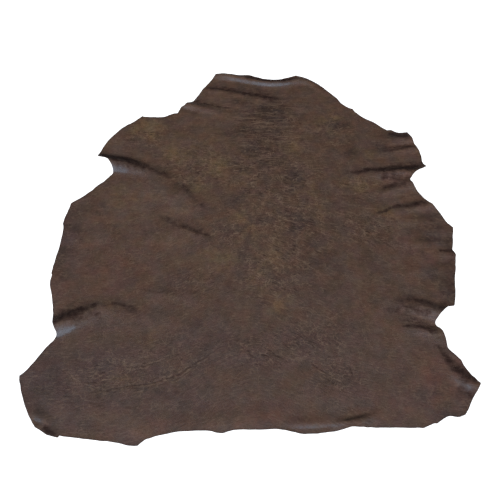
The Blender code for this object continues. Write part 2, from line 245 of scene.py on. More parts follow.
CREASES = {
    "left shoulder": Crease((
        (-0.50, 1.225), (-0.45, 1.205), (-0.40, 1.182), (-0.34, 1.156), (-0.28, 1.135), (-0.22, 1.118),
    ), 0.0009, 0.007, 0.25, 0.5),
    "left shoulder, lower": Crease((
        (-0.40, 1.165), (-0.36, 1.150), (-0.31, 1.134), (-0.28, 1.124),
    ), 0.0005, 0.005, 0.3),
    "above the left shoulder": Crease((
        (-0.40, 1.540), (-0.375, 1.475), (-0.378, 1.414), (-0.405, 1.320), (-0.460, 1.250),
    ), 0.0005, 0.014, 0.12),
    "beyond the left armpit": Crease((
        (-0.58, 1.630), (-0.52, 1.600), (-0.46, 1.565), (-0.40, 1.530),
    ), 0.0006, 0.013, 0.40),
    "left foreleg": Crease(((-0.80, 1.868), (-0.755, 1.872), (-0.70, 1.868)), 0.0006, 0.007, 0.7),
    "left thigh, long": Crease((
        (-0.78, 0.185), (-0.70, 0.195), (-0.60, 0.212), (-0.52, 0.222), (-0.45, 0.242), (-0.40, 0.262),
        (-0.34, 0.290), (-0.25, 0.350), (-0.19, 0.400), (-0.13, 0.445),
    ), 0.0009, 0.0055, 0.65, 0.8),
    "left thigh, beside": Crease((
        (-0.46, 0.222), (-0.40, 0.240), (-0.33, 0.272), (-0.25, 0.325), (-0.19, 0.370),
    ), 0.0008, 0.0040, 0.50, 0.55),
    "left thigh, upper": Crease((
        (-0.64, 0.318), (-0.58, 0.318), (-0.52, 0.330), (-0.46, 0.350), (-0.42, 0.368),
    ), 0.0006, 0.0045, 0.6, 0.6),
    "left thigh, above": Crease(((-0.60, 0.345), (-0.54, 0.362), (-0.48, 0.385)), 0.0004, 0.0035, 0.2, 0.7),
    "left thigh, short": Crease(((-0.82, 0.238), (-0.76, 0.232), (-0.70, 0.240)), 0.0005, 0.004, 0.6, 0.5),
    "left thigh, arc": Crease((
        (-0.90, 0.300), (-0.86, 0.255), (-0.80, 0.215), (-0.73, 0.195),
    ), 0.0004, 0.0035, 0.15, 0.9),
    "left thigh, second arc": Crease((
        (-0.72, 0.420), (-0.68, 0.370), (-0.61, 0.330), (-0.56, 0.318),
    ), 0.0004, 0.0035, 0.15, 0.8),
    "left flank, far": Crease((
        (-0.62, 0.775), (-0.55, 0.770), (-0.48, 0.755), (-0.42, 0.742), (-0.35, 0.735),
    ), 0.0006, 0.009, 0.55),
    "left flank, end": Crease((
        (-0.80, 0.680), (-0.72, 0.675), (-0.66, 0.655), (-0.60, 0.625), (-0.56, 0.595),
    ), 0.0006, 0.010, 0.55),
    "middle, first": Crease(((0.060, 0.425), (0.105, 0.400), (0.169, 0.357)), 0.0008, 0.0045, 0.9, 0.3),
    "middle, second": Crease(((0.085, 0.405), (0.115, 0.384), (0.150, 0.360)), 0.0007, 0.0040, 0.8),
    "middle, third": Crease(((-0.020, 0.425), (-0.005, 0.406), (0.025, 0.373)), 0.0006, 0.0045, 0.65),
    "middle, beside": Crease((
        (0.13, 0.41), (0.19, 0.38), (0.25, 0.365), (0.31, 0.37),
    ), 0.0003, 0.0035, 0.0, 0.8),
    "right thigh, first": Crease(((0.300, 0.352), (0.330, 0.322), (0.378, 0.276)), 0.0007, 0.0055, 0.75),
    "right thigh, second": Crease(((0.360, 0.262), (0.395, 0.240), (0.437, 0.224)), 0.0006, 0.0060, 0.65),
    "right thigh, third": Crease(((0.490, 0.340), (0.500, 0.305), (0.515, 0.272)), 0.0007, 0.0040, 0.75),
    "right thigh, speck": Crease(((0.440, 0.205), (0.450, 0.202), (0.460, 0.203)), 0.0005, 0.0060, 0.8),
    "right thigh, level": Crease(((0.350, 0.365), (0.400, 0.380), (0.470, 0.380)), 0.0005, 0.0055, 0.45),
    "right thigh, scratch": Crease(((0.60, 0.32), (0.64, 0.295), (0.68, 0.290)), 0.0003, 0.0040, 0.0, 0.8),
    "right of the back": Crease((
        (0.22, 0.660), (0.30, 0.640), (0.38, 0.610), (0.44, 0.570),
    ), 0.0004, 0.004, 0.1, 0.6),
    "right belly, first": Crease((
        (0.52, 1.160), (0.60, 1.120), (0.68, 1.070), (0.74, 1.010),
    ), 0.0005, 0.005, 0.5, 0.4),
    "right belly, second": Crease(((0.66, 1.230), (0.74, 1.190), (0.82, 1.140)), 0.0005, 0.005, 0.5, 0.4),
    "right belly, third": Crease(((0.70, 1.120), (0.78, 1.060), (0.83, 1.000)), 0.0005, 0.005, 0.45, 0.4),
    "neck, first": Crease((
        (-0.26, 2.345), (-0.20, 2.338), (-0.134, 2.330), (-0.06, 2.318),
    ), 0.0006, 0.007, 0.25),
    "neck, first, middle": Crease(((-0.06, 2.318), (0.00, 2.305), (0.07, 2.291)), 0.0006, 0.007, 0.25),
    "neck, first, right": Crease((
        (0.03, 2.298), (0.10, 2.282), (0.166, 2.265), (0.225, 2.240),
    ), 0.0006, 0.012, 0.6),
    "neck, first, under": Crease((
        (0.05, 2.262), (0.11, 2.252), (0.17, 2.238), (0.22, 2.225),
    ), 0.0005, 0.010, 0.6),
    "neck, far right": Crease(((0.21, 2.221), (0.30, 2.214), (0.42, 2.213)), 0.0004, 0.006, 0.35, 0.4),
    "neck, left": Crease((
        (-0.38, 2.235), (-0.33, 2.218), (-0.27, 2.200), (-0.20, 2.172), (-0.11, 2.145), (-0.05, 2.130),
    ), 0.0006, 0.008, 0.35),
    "neck, second": Crease(((0.02, 2.165), (0.10, 2.160), (0.19, 2.150)), 0.0006, 0.010, 0.7),
    "neck, third": Crease(((0.04, 2.105), (0.13, 2.095), (0.20, 2.090)), 0.0006, 0.010, 0.75),
    "neck, fourth": Crease(((0.06, 2.020), (0.14, 2.012), (0.21, 2.020)), 0.0006, 0.008, 0.6),
    "neck, fifth": Crease(((-0.09, 1.950), (-0.02, 1.943), (0.06, 1.945), (0.12, 1.952)), 0.0006, 0.010, 0.7),
    "withers, first": Crease(((-0.04, 1.842), (0.06, 1.835), (0.16, 1.842)), 0.0005, 0.007, 0.5),
    "withers, second": Crease(((-0.02, 1.775), (0.08, 1.770), (0.20, 1.780)), 0.0005, 0.007, 0.6),
    "right armpit, spots": Crease((
        (0.56, 1.598), (0.62, 1.600), (0.70, 1.612), (0.78, 1.625),
    ), 0.0006, 0.012, 0.75),
    "right foreleg": Crease((
        (0.82, 1.805), (0.88, 1.812), (0.95, 1.822), (1.03, 1.836),
    ), 0.0007, 0.009, 0.75),
    "right flank": Crease(((0.76, 0.585), (0.83, 0.580), (0.90, 0.562), (0.98, 0.545)), 0.0008, 0.009, 0.85),
    "tail edge": Crease(((0.38, 0.048), (0.44, 0.052), (0.50, 0.060), (0.58, 0.085)), 0.0005, 0.008, 0.20),
}


class Band(NamedTuple):
    """A soft band on the grain side: rows of (across, along, width), and its strength from 0 to 1."""

    line: tuple
    strength: float


# Polished by handling
BURNISHED = {
    "left armpit": Band((
        (-0.91, 1.624, 0.020), (-0.85, 1.612, 0.024), (-0.79, 1.600, 0.020), (-0.73, 1.590, 0.012),
    ), 1.0),
    "left armpit, end": Band(((-0.80, 1.600, 0.016), (-0.72, 1.566, 0.020), (-0.64, 1.540, 0.016)), 0.30),
    "left flank": Band((
        (-1.03, 0.476, 0.020), (-0.97, 0.496, 0.024), (-0.93, 0.516, 0.019), (-0.89, 0.540, 0.010),
    ), 1.0),
    "right armpit": Band(((0.80, 1.566, 0.010), (0.86, 1.568, 0.012), (0.94, 1.570, 0.012)), 0.30),
    "right flank": Band(((0.88, 0.618, 0.006), (0.925, 0.602, 0.010), (0.97, 0.580, 0.010)), 0.20),
    "right flank, edge": Band(((0.92, 0.470, 0.014), (0.96, 0.462, 0.014), (1.00, 0.455, 0.014)), 0.4),
    "right hind leg": Band((
        (0.92, 0.318, 0.006), (0.97, 0.272, 0.009), (1.03, 0.224, 0.010), (1.08, 0.190, 0.012),
    ), 0.45),
    "neck edge": Band((
        (-0.17, 2.440, 0.012), (-0.05, 2.408, 0.020), (0.07, 2.380, 0.016), (0.14, 2.371, 0.015),
        (0.25, 2.378, 0.016), (0.33, 2.395, 0.012),
    ), 0.75),
    "left side of the neck": Band(((-0.48, 2.155, 0.020), (-0.42, 2.138, 0.018), (-0.34, 2.105, 0.014)), 0.9),
    "tail edge": Band((
        (0.18, 0.004, 0.008), (0.24, 0.008, 0.012), (0.31, 0.013, 0.014), (0.38, 0.018, 0.012),
        (0.46, 0.022, 0.008),
    ), 0.55),
    "left hock": Band(((-1.02, 0.058, 0.012), (-0.996, 0.044, 0.017), (-0.97, 0.024, 0.012)), 0.9),
    "scratch on the left thigh": Band((
        (-0.78, 0.132, 0.004), (-0.71, 0.118, 0.006), (-0.65, 0.112, 0.004),
    ), 1.0),
    "second scratch": Band(((-0.62, 0.112, 0.004), (-0.56, 0.105, 0.005), (-0.51, 0.100, 0.004)), 0.8),
    "third scratch": Band(((-0.63, 0.140, 0.005), (-0.54, 0.148, 0.007), (-0.44, 0.150, 0.005)), 0.6),
}
# Painted shade: dark bands on the far sides of the folds and in their hollows, in soft creases and at some
# edges
SHADE_BANDS = {
    "left armpit": Band((
        (-0.960, 1.716, 0.030), (-0.891, 1.716, 0.042), (-0.843, 1.696, 0.048), (-0.761, 1.667, 0.052),
        (-0.668, 1.636, 0.044), (-0.607, 1.618, 0.030),
    ), 1.0),
    "left armpit, crest": Band((
        (-0.860, 1.646, 0.014), (-0.770, 1.630, 0.020), (-0.690, 1.604, 0.022), (-0.600, 1.580, 0.014),
    ), 0.45),
    "left armpit, end": Band((
        (-0.640, 1.630, 0.022), (-0.580, 1.604, 0.022), (-0.520, 1.576, 0.020), (-0.470, 1.545, 0.014),
    ), 0.65),
    "beyond the left armpit": Band((
        (-0.48, 1.545, 0.022), (-0.43, 1.500, 0.036), (-0.37, 1.458, 0.036), (-0.33, 1.395, 0.026),
        (-0.29, 1.345, 0.034), (-0.24, 1.325, 0.022),
    ), 0.50),
    "left shoulder": Band((
        (-0.55, 1.252, 0.016), (-0.48, 1.234, 0.027), (-0.42, 1.210, 0.036), (-0.36, 1.182, 0.037),
        (-0.30, 1.152, 0.030), (-0.24, 1.122, 0.022), (-0.18, 1.098, 0.012),
    ), 0.54),
    "left flank": Band((
        (-1.050, 0.556, 0.038), (-0.992, 0.574, 0.045), (-0.930, 0.602, 0.046), (-0.874, 0.630, 0.040),
        (-0.820, 0.654, 0.026), (-0.770, 0.668, 0.014),
    ), 0.88),
    "left flank, end": Band((
        (-0.870, 0.642, 0.034), (-0.800, 0.662, 0.026), (-0.700, 0.668, 0.016), (-0.620, 0.652, 0.017),
        (-0.550, 0.620, 0.012),
    ), 0.54),
    "left flank, hollow": Band((
        (-0.93, 0.570, 0.010), (-0.89, 0.584, 0.022), (-0.84, 0.602, 0.026), (-0.76, 0.610, 0.020),
    ), 0.58),
    "left flank, far": Band((
        (-0.62, 0.778, 0.014), (-0.53, 0.770, 0.022), (-0.45, 0.752, 0.018), (-0.35, 0.735, 0.010),
    ), 0.35),
    "left thigh": Band((
        (-0.72, 0.192, 0.010), (-0.62, 0.205, 0.017), (-0.53, 0.218, 0.019), (-0.45, 0.236, 0.014),
    ), 0.40),
    "right armpit": Band((
        (0.600, 1.594, 0.016), (0.661, 1.598, 0.020), (0.727, 1.604, 0.026), (0.817, 1.610, 0.038),
        (0.907, 1.622, 0.052), (0.993, 1.630, 0.062), (1.056, 1.645, 0.064),
    ), 1.0),
    "right armpit, hollow": Band((
        (0.78, 1.550, 0.018), (0.86, 1.550, 0.036), (0.92, 1.543, 0.044), (0.99, 1.536, 0.044),
    ), 0.74),
    "right armpit, under": Band(((0.780, 1.468, 0.018), (0.860, 1.486, 0.032), (0.950, 1.514, 0.034)), 0.72),
    "right armpit, outer": Band(((0.99, 1.675, 0.010), (1.031, 1.684, 0.014), (1.080, 1.680, 0.012)), 0.7),
    "right belly, far": Band((
        (0.720, 1.290, 0.010), (0.800, 1.305, 0.014), (0.873, 1.328, 0.020), (0.961, 1.341, 0.026),
        (1.051, 1.356, 0.026),
    ), 0.85),
    "right foreleg, rim": Band((
        (0.865, 1.920, 0.014), (0.903, 1.912, 0.026), (0.958, 1.902, 0.036), (1.007, 1.893, 0.040),
    ), 1.0),
    "right foreleg, middle": Band((
        (0.820, 1.765, 0.012), (0.909, 1.785, 0.018), (0.973, 1.802, 0.017), (1.041, 1.793, 0.014),
    ), 0.75),
    "right hind leg": Band((
        (0.948, 0.420, 0.012), (0.998, 0.345, 0.028), (1.035, 0.300, 0.042), (1.065, 0.262, 0.044),
        (1.105, 0.226, 0.032),
    ), 0.88),
    "right hind leg, below": Band(((1.01, 0.205, 0.014), (1.05, 0.178, 0.022), (1.10, 0.150, 0.026)), 0.72),
    "right flank": Band((
        (0.740, 0.700, 0.018), (0.800, 0.694, 0.026), (0.860, 0.684, 0.031), (0.914, 0.666, 0.035),
        (0.985, 0.652, 0.040), (1.060, 0.690, 0.038),
    ), 0.62),
    "right flank, upper": Band(((0.90, 0.728, 0.014), (0.98, 0.738, 0.026), (1.06, 0.750, 0.030)), 0.40),
    "right flank, crest": Band((
        (0.79, 0.656, 0.018), (0.85, 0.640, 0.026), (0.90, 0.622, 0.022), (0.95, 0.608, 0.014),
    ), 0.66),
    "right flank, hollow": Band(((0.71, 0.648, 0.018), (0.78, 0.640, 0.024), (0.85, 0.630, 0.017)), 0.55),
    "right flank, between": Band((
        (0.76, 0.612, 0.014), (0.84, 0.594, 0.022), (0.91, 0.566, 0.020), (0.97, 0.546, 0.014),
    ), 0.60),
    "right flank, lower": Band((
        (0.769, 0.548, 0.010), (0.831, 0.545, 0.016), (0.894, 0.531, 0.019), (0.960, 0.512, 0.018),
    ), 0.95),
    "right flank, hock": Band(((0.93, 0.440, 0.012), (0.965, 0.428, 0.020), (0.99, 0.412, 0.018)), 0.60),
    "right edge, spot": Band((
        (1.050, 1.008, 0.010), (1.085, 1.014, 0.015), (1.115, 1.018, 0.022), (1.140, 1.018, 0.024),
    ), 0.85),
    "right edge": Band((
        (1.109, 1.163, 0.030), (1.101, 0.957, 0.035), (1.089, 0.827, 0.045), (1.056, 0.702, 0.040),
    ), 0.45),
    "neck edge": Band((
        (-0.060, 2.460, 0.016), (0.000, 2.444, 0.024), (0.070, 2.430, 0.030), (0.150, 2.420, 0.034),
        (0.240, 2.426, 0.032), (0.340, 2.446, 0.020),
    ), 1.0),
    "neck crease": Band((
        (-0.33, 2.352, 0.014), (-0.26, 2.345, 0.026), (-0.18, 2.336, 0.028), (-0.09, 2.318, 0.024),
        (0.00, 2.296, 0.034), (0.10, 2.268, 0.044), (0.17, 2.250, 0.036), (0.24, 2.234, 0.014),
    ), 0.78),
    "left side of the neck": Band((
        (-0.42, 2.245, 0.016), (-0.36, 2.228, 0.030), (-0.30, 2.206, 0.030), (-0.22, 2.178, 0.024),
        (-0.12, 2.148, 0.014),
    ), 0.58),
    "tail edge": Band(((0.400, 0.036, 0.006), (0.480, 0.052, 0.010), (0.577, 0.078, 0.008)), 0.25),
    "left hock": Band(((-0.975, 0.004, 0.010), (-0.935, -0.012, 0.014), (-0.890, -0.026, 0.012)), 0.9),
    "left hind edge": Band(((-1.10, 0.22, 0.022), (-1.08, 0.14, 0.020), (-1.04, 0.06, 0.014)), 0.35),
}


# Soft patches of other tones: rows of (across, along, how wide, how long, strength from 0 to 1)
PATCHES = {
    # Worn through to a yellower brown
    "olive": (
        (-0.65, 1.98, 0.14, 0.12, 0.75), (-0.45, 1.76, 0.12, 0.14, 0.60), (-0.20, 1.66, 0.12, 0.11, 0.80),
        (-0.33, 1.50, 0.14, 0.08, 0.55), (-0.05, 1.56, 0.06, 0.10, 0.55), (-0.75, 1.42, 0.14, 0.08, 0.45),
        (0.27, 1.83, 0.09, 0.08, 0.60), (0.52, 2.02, 0.10, 0.12, 0.60), (0.40, 1.32, 0.08, 0.12, 0.40),
        (0.10, 1.36, 0.08, 0.08, 0.45), (-0.03, 1.26, 0.07, 0.15, 0.45), (-0.16, 0.96, 0.12, 0.08, 0.65),
        (0.11, 0.98, 0.07, 0.13, 0.60), (0.15, 0.68, 0.08, 0.11, 0.60), (0.04, 0.84, 0.06, 0.09, 0.55),
        (0.78, 1.26, 0.10, 0.10, 0.50), (0.64, 1.52, 0.13, 0.07, 0.55), (0.33, 1.47, 0.12, 0.09, 0.45),
        (-0.78, 0.65, 0.12, 0.05, 0.40), (-0.22, 1.85, 0.10, 0.12, 0.35), (0.72, 1.74, 0.10, 0.06, 0.40),
        (-0.02, 1.08, 0.09, 0.08, 0.45), (-0.52, 0.48, 0.08, 0.07, 0.25), (-0.60, 0.24, 0.10, 0.06, 0.30),
    ),
    # Darker, where the wax is thick
    "dark": (
        (-0.05, 1.63, 0.08, 0.06, 0.60), (-0.10, 2.22, 0.09, 0.05, 0.45), (0.96, 0.11, 0.08, 0.06, 0.60),
        (0.13, 2.12, 0.15, 0.12, 0.95), (0.00, 1.94, 0.18, 0.07, 0.60), (0.06, 1.80, 0.14, 0.09, 0.65),
        (0.14, 1.70, 0.12, 0.09, 0.50), (0.23, 1.52, 0.10, 0.12, 0.65), (-0.42, 1.50, 0.08, 0.07, 0.40),
        (0.30, 1.21, 0.13, 0.10, 0.50), (0.36, 0.98, 0.12, 0.14, 0.45), (-0.07, 1.38, 0.05, 0.05, 0.60),
        (0.62, 1.78, 0.13, 0.08, 0.50), (0.00, 2.26, 0.20, 0.07, 0.40), (1.02, 1.12, 0.10, 0.12, 0.60),
        (1.00, 0.86, 0.10, 0.06, 0.55), (0.90, 1.90, 0.14, 0.04, 0.50), (-0.94, 1.30, 0.10, 0.06, 0.40),
        (1.05, 1.20, 0.06, 0.10, 0.50), (0.60, 1.99, 0.08, 0.06, 0.35), (-1.02, 0.90, 0.05, 0.10, 0.35),
        (0.62, 1.36, 0.10, 0.08, 0.35), (0.56, 1.99, 0.12, 0.08, 0.55), (-1.02, 1.28, 0.08, 0.10, 0.35),
        (0.45, 1.20, 0.08, 0.06, 0.35), (0.66, 1.10, 0.10, 0.30, 0.30), (0.94, 0.20, 0.12, 0.12, 0.40),
        (-1.00, 0.19, 0.09, 0.11, 0.60), (-0.30, 0.26, 0.12, 0.05, 0.35), (1.00, 0.16, 0.10, 0.09, 0.45),
        (-0.55, 0.20, 0.26, 0.04, 0.40), (0.00, 2.33, 0.26, 0.05, 0.40), (-1.04, 1.05, 0.06, 0.16, 0.45),
        (0.82, 1.80, 0.18, 0.10, 0.40), (1.06, 0.80, 0.08, 0.16, 0.55),
    ),
    # Paler: partly the leather's own tone, partly painted light on the lit near sides of the swells below the
    # left armpit
    "pale": (
        (-0.56, 1.44, 0.16, 0.09, 0.70), (-0.40, 1.38, 0.14, 0.08, 0.60), (-0.70, 1.22, 0.24, 0.16, 0.45),
        (-0.45, 1.05, 0.20, 0.12, 0.50), (-0.80, 1.62, 0.10, 0.05, 0.50), (-0.62, 1.76, 0.16, 0.08, 0.40),
        (-0.55, -0.02, 0.09, 0.05, 0.75), (0.40, 0.05, 0.12, 0.04, 0.45), (0.30, 1.58, 0.08, 0.10, 0.30),
        (-0.25, 2.06, 0.16, 0.14, 0.45), (-0.42, 1.82, 0.14, 0.12, 0.40), (-0.88, 1.20, 0.14, 0.16, 0.35),
        (-0.24, 2.26, 0.09, 0.06, 0.60), (0.30, 2.14, 0.09, 0.05, 0.60), (0.88, 1.88, 0.10, 0.03, 0.60),
        (-0.43, 1.29, 0.13, 0.05, 0.80), (-0.47, 0.68, 0.09, 0.05, 0.70), (-0.42, 2.14, 0.06, 0.04, 0.60),
        (-0.70, 1.32, 0.18, 0.10, 0.70), (-0.80, 1.84, 0.12, 0.07, 0.40), (-0.20, 0.95, 0.16, 0.12, 0.30),
        (0.62, 0.42, 0.16, 0.14, 0.30),
    ),
    # Redder and smoother, towards the belly edges
    "red": (
        (1.06, 0.29, 0.07, 0.09, 0.90), (0.55, 1.98, 0.14, 0.08, 0.30), (-0.88, 1.10, 0.16, 0.22, 0.35),
        (-0.74, 0.88, 0.22, 0.17, 0.60), (-0.58, 1.02, 0.14, 0.12, 0.40), (0.95, 0.98, 0.14, 0.10, 0.65),
        (0.84, 1.06, 0.12, 0.12, 0.40), (0.92, 0.25, 0.16, 0.18, 0.75), (0.10, 0.08, 0.22, 0.08, 0.55),
        (-0.50, 0.00, 0.20, 0.07, 0.55), (0.72, 0.14, 0.20, 0.10, 0.50), (0.66, 0.62, 0.12, 0.08, 0.45),
        (-0.20, 1.76, 0.06, 0.05, 0.30), (0.95, 1.80, 0.14, 0.08, 0.45), (0.90, 1.52, 0.12, 0.07, 0.40),
        (-0.95, 0.78, 0.16, 0.14, 0.45), (0.60, 2.15, 0.10, 0.10, 0.25),
    ),
    # A grey-purple bloom, towards the hind legs
    "purple": (
        (-0.80, 0.54, 0.11, 0.05, 0.60), (0.02, 0.86, 0.16, 0.12, 0.45), (0.46, 1.32, 0.12, 0.12, 0.35),
        (0.52, 0.34, 0.14, 0.08, 0.45), (-0.95, 0.18, 0.14, 0.14, 0.80), (0.00, 0.36, 0.30, 0.09, 0.55),
        (-0.48, 0.30, 0.16, 0.10, 0.60), (-1.03, 1.12, 0.09, 0.22, 0.90), (-0.98, 0.95, 0.12, 0.12, 0.45),
        (1.02, 0.45, 0.08, 0.08, 0.55), (-1.02, 0.30, 0.18, 0.22, 0.75), (-0.75, 0.32, 0.22, 0.16, 0.70),
        (-0.30, 0.15, 0.24, 0.09, 0.60), (-0.22, 0.46, 0.32, 0.17, 0.60), (0.32, 0.46, 0.26, 0.15, 0.55),
        (0.50, 0.27, 0.20, 0.12, 0.50), (-0.70, 0.14, 0.30, 0.06, 0.50), (0.85, 0.45, 0.12, 0.06, 0.50),
        (-0.55, 1.34, 0.20, 0.08, 0.45), (0.30, 0.80, 0.22, 0.12, 0.35), (-0.55, 0.55, 0.20, 0.08, 0.40),
        (0.02, 1.94, 0.12, 0.08, 0.35), (-0.86, 0.03, 0.10, 0.06, 0.50), (-0.78, 1.78, 0.12, 0.08, 0.35),
        (-0.96, 1.38, 0.10, 0.08, 0.35),
    ),
    # Where fine growth lines run across the neck and the withers
    "drawn": (
        (0.12, 2.08, 0.24, 0.17, 1.00), (0.08, 1.88, 0.26, 0.14, 0.85), (0.10, 1.70, 0.22, 0.12, 0.55),
        (-0.15, 2.20, 0.20, 0.10, 0.55), (-0.94, 0.62, 0.12, 0.06, 0.80), (-0.72, 1.68, 0.18, 0.05, 0.55),
        (0.92, 1.56, 0.16, 0.16, 0.55), (0.92, 0.58, 0.14, 0.12, 0.60), (0.92, 1.82, 0.14, 0.08, 0.50),
    ),
    # Where the grain has crackled most
    "crackle": (
        (0.15, 1.95, 0.22, 0.24, 0.90), (0.12, 1.60, 0.30, 0.26, 0.95), (-0.30, 1.66, 0.24, 0.18, 0.85),
        (0.20, 1.25, 0.30, 0.26, 0.80), (-0.08, 1.15, 0.20, 0.20, 0.60), (0.15, 0.90, 0.24, 0.22, 0.70),
        (-0.66, 0.28, 0.24, 0.13, 0.55), (-0.40, 0.38, 0.18, 0.12, 0.45), (0.30, 0.48, 0.24, 0.14, 0.60),
        (0.68, 1.18, 0.16, 0.12, 0.80), (0.62, 1.48, 0.18, 0.10, 0.55), (-0.64, 1.92, 0.16, 0.16, 0.60),
        (0.50, 1.95, 0.16, 0.16, 0.60), (-0.88, 0.24, 0.12, 0.10, 0.25), (-0.30, 0.82, 0.16, 0.10, 0.55),
        (0.44, 0.28, 0.14, 0.12, 0.55), (0.05, 0.40, 0.18, 0.10, 0.60), (-0.62, 0.98, 0.16, 0.12, 0.25),
    ),
}


def on_plan(across, along):
    """A place on the cutting table as (x, y) in the row frame."""
    low = SOLID_BOX[0]
    return low.x + BACKBONE_FROM_LEFT + across, low.y + TAIL_LINE_FROM_LOWEST + along


def smooth_curve(points, step):
    """Rows at most a step apart on a smooth curve through the given rows. Two columns first: the plan."""
    given = np.asarray(points, float)
    ends = np.vstack([2 * given[0] - given[1], given, 2 * given[-1] - given[-2]])
    curve = []
    for before, start, stop, after in zip(ends, ends[1:], ends[2:], ends[3:]):
        pieces = max(1, math.ceil(np.linalg.norm((stop - start)[:2]) / step))
        t = (np.arange(pieces) / pieces)[:, None]
        pull = (stop - before) * 0.5 * (t - 2 * t**2 + t**3) + (after - start) * 0.5 * (t**3 - t**2)
        curve.append(start * (1 - 3 * t**2 + 2 * t**3) + stop * (3 * t**2 - 2 * t**3) + pull)
    return np.vstack([*curve, given[-1:]])


def plan_line(rows, step=CREASE_STEP):
    """A line given on the cutting table as a smooth curve in the row frame, with its other columns kept."""
    line = smooth_curve(rows, step)
    x, y = on_plan(line[:, 0], line[:, 1])
    return np.column_stack([x, y, line[:, 2:]])


def beside(line, points, reach):
    """The points within reach of a line: their places in the list, distances, shares of it, and sides."""
    low, high = line[:, :2].min(0) - reach, line[:, :2].max(0) + reach
    near = np.flatnonzero(((points > low) & (points < high)).all(1))
    start, run = line[:-1, :2], np.diff(line[:, :2], axis=0)
    offset = points[near][:, None, :] - start
    share = ((offset * run).sum(2) / (run**2).sum(1)).clip(0.0, 1.0)
    apart = offset - share[..., None] * run
    distance = np.linalg.norm(apart, axis=2)
    best = distance.argmin(1)
    row = np.arange(len(near))
    side = run[best, 0] * apart[row, best, 1] - run[best, 1] * apart[row, best, 0]
    share = best + share[row, best]
    kept = distance[row, best] < reach
    return near[kept], distance[row, best][kept], share[kept], side[kept]


def fade(share, length, ends):
    """From 0 at both ends of a line to 1 along its middle."""
    place = share / length
    return np.clip(np.minimum(place, 1 - place) / ends, 0.0, 1.0) ** END_POWER


def look_down(surface, point):
    """What is seen straight below a plan point on a surface: its place, normal, face and distance."""
    return surface.ray_cast(Vector((*point, LOOK_FROM)), DOWN)


class UpperFace:
    """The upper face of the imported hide: its cut edge, and its height at any place in the plan."""

    def __init__(self, node):
        surface = bmesh.new()
        surface.from_mesh(node.data)
        bmesh.ops.remove_doubles(surface, verts=surface.verts, dist=WELD)
        rim = {f for f in surface.faces if min(e.calc_length() for e in f.edges) < 2 * THICKNESS}
        below = {f for f in surface.faces if f.normal.z < 0}
        bmesh.ops.delete(surface, geom=list(rim | below), context="FACES")
        surface.normal_update()
        surface.verts.index_update()
        self.tree = BVHTree.FromBMesh(surface)
        self.places = np.array([v.co for v in surface.verts])
        self.slopes = np.array([(-v.normal.x / v.normal.z, -v.normal.y / v.normal.z) for v in surface.verts])
        self.corners = np.array([[v.index for v in f.verts] for f in surface.faces])
        self.ring = self.find_ring(surface)
        surface.free()

    @staticmethod
    def find_ring(surface):
        """The open surface's edge as a ring of plan points, in order."""
        beside_it = {}
        for edge in surface.edges:
            if edge.is_boundary:
                for corner in edge.verts:
                    beside_it.setdefault(corner, []).append(edge.other_vert(corner))
        first = next(iter(beside_it))
        ring, before, here = [first], first, beside_it[first][0]
        while here is not first:
            ring.append(here)
            before, here = here, next(v for v in beside_it[here] if v is not before)
        return np.array([(v.co.x, v.co.y) for v in ring])

    def inside(self, point):
        """Whether a plan point lies on the hide."""
        return look_down(self.tree, point)[0] is not None

    def height(self, points):
        """The height at each plan point. The facets are rounded off by the slopes at their corners."""
        heights = np.empty(len(points))
        for at, point in enumerate(points):
            spot, _, face, _ = look_down(self.tree, point)
            if spot is None:
                spot, _, face, _ = self.tree.find_nearest(Vector((*point, 10 * THICKNESS)))
            corners = self.corners[face]
            a, b, c = self.places[corners, :2]
            place = np.array((spot.x, spot.y))
            weights = np.linalg.solve(np.vstack([np.column_stack([a, b, c]), np.ones(3)]), (*place, 1.0))
            rise = ((place - (a, b, c)) * self.slopes[corners]).sum(1)
            heights[at] = weights @ (self.places[corners, 2] + 0.5 * rise)
        return heights


def waves_along(travelled, per_metre, seed):
    """Smooth noise about zero, at lengths along the cut edge. The seed is a place in the noise."""
    return np.array([noise.noise(Vector((s * per_metre, *seed))) for s in travelled])


def cut_edge(ring):
    """The outline as a finer ring: smooth between its corners, with the knife's small wander."""
    run = np.roll(ring, -1, axis=0) - ring
    heading = np.arctan2(run[:, 1], run[:, 0])
    turn = np.abs((heading - np.roll(heading, 1) + math.pi) % (2 * math.pi) - math.pi)
    corners = np.flatnonzero(turn > CORNER)
    fine = []
    for start, stop in zip(corners, np.append(corners[1:], corners[0] + len(ring))):
        stretch = smooth_curve(ring[np.arange(start, stop + 1) % len(ring)], EDGE_STEP)
        fine.append(stretch[:-1])
    fine = np.vstack(fine)
    ahead = np.roll(fine, -1, axis=0) - np.roll(fine, 1, axis=0)
    out = np.column_stack([ahead[:, 1], -ahead[:, 0]]) / np.linalg.norm(ahead, axis=1, keepdims=True)
    travelled = np.cumsum(np.linalg.norm(fine - np.roll(fine, 1, axis=0), axis=1))
    wander = waves_along(travelled, KNIFE_WAVES_PER_METRE, KNIFE_SEED)
    return fine + out * wander[:, None] * KNIFE_WANDER


def triangular_grid(step):
    """An even triangular grid of plan points over the hide's box."""
    low, high = SOLID_BOX
    rows = np.arange(low.y, high.y, step * math.sqrt(3) / 2)
    places = np.arange(low.x, high.x, step)
    x = places[None, :] + step / 2 * (np.arange(len(rows)) % 2)[:, None]
    return np.column_stack([x.ravel(), np.repeat(rows, len(places))])


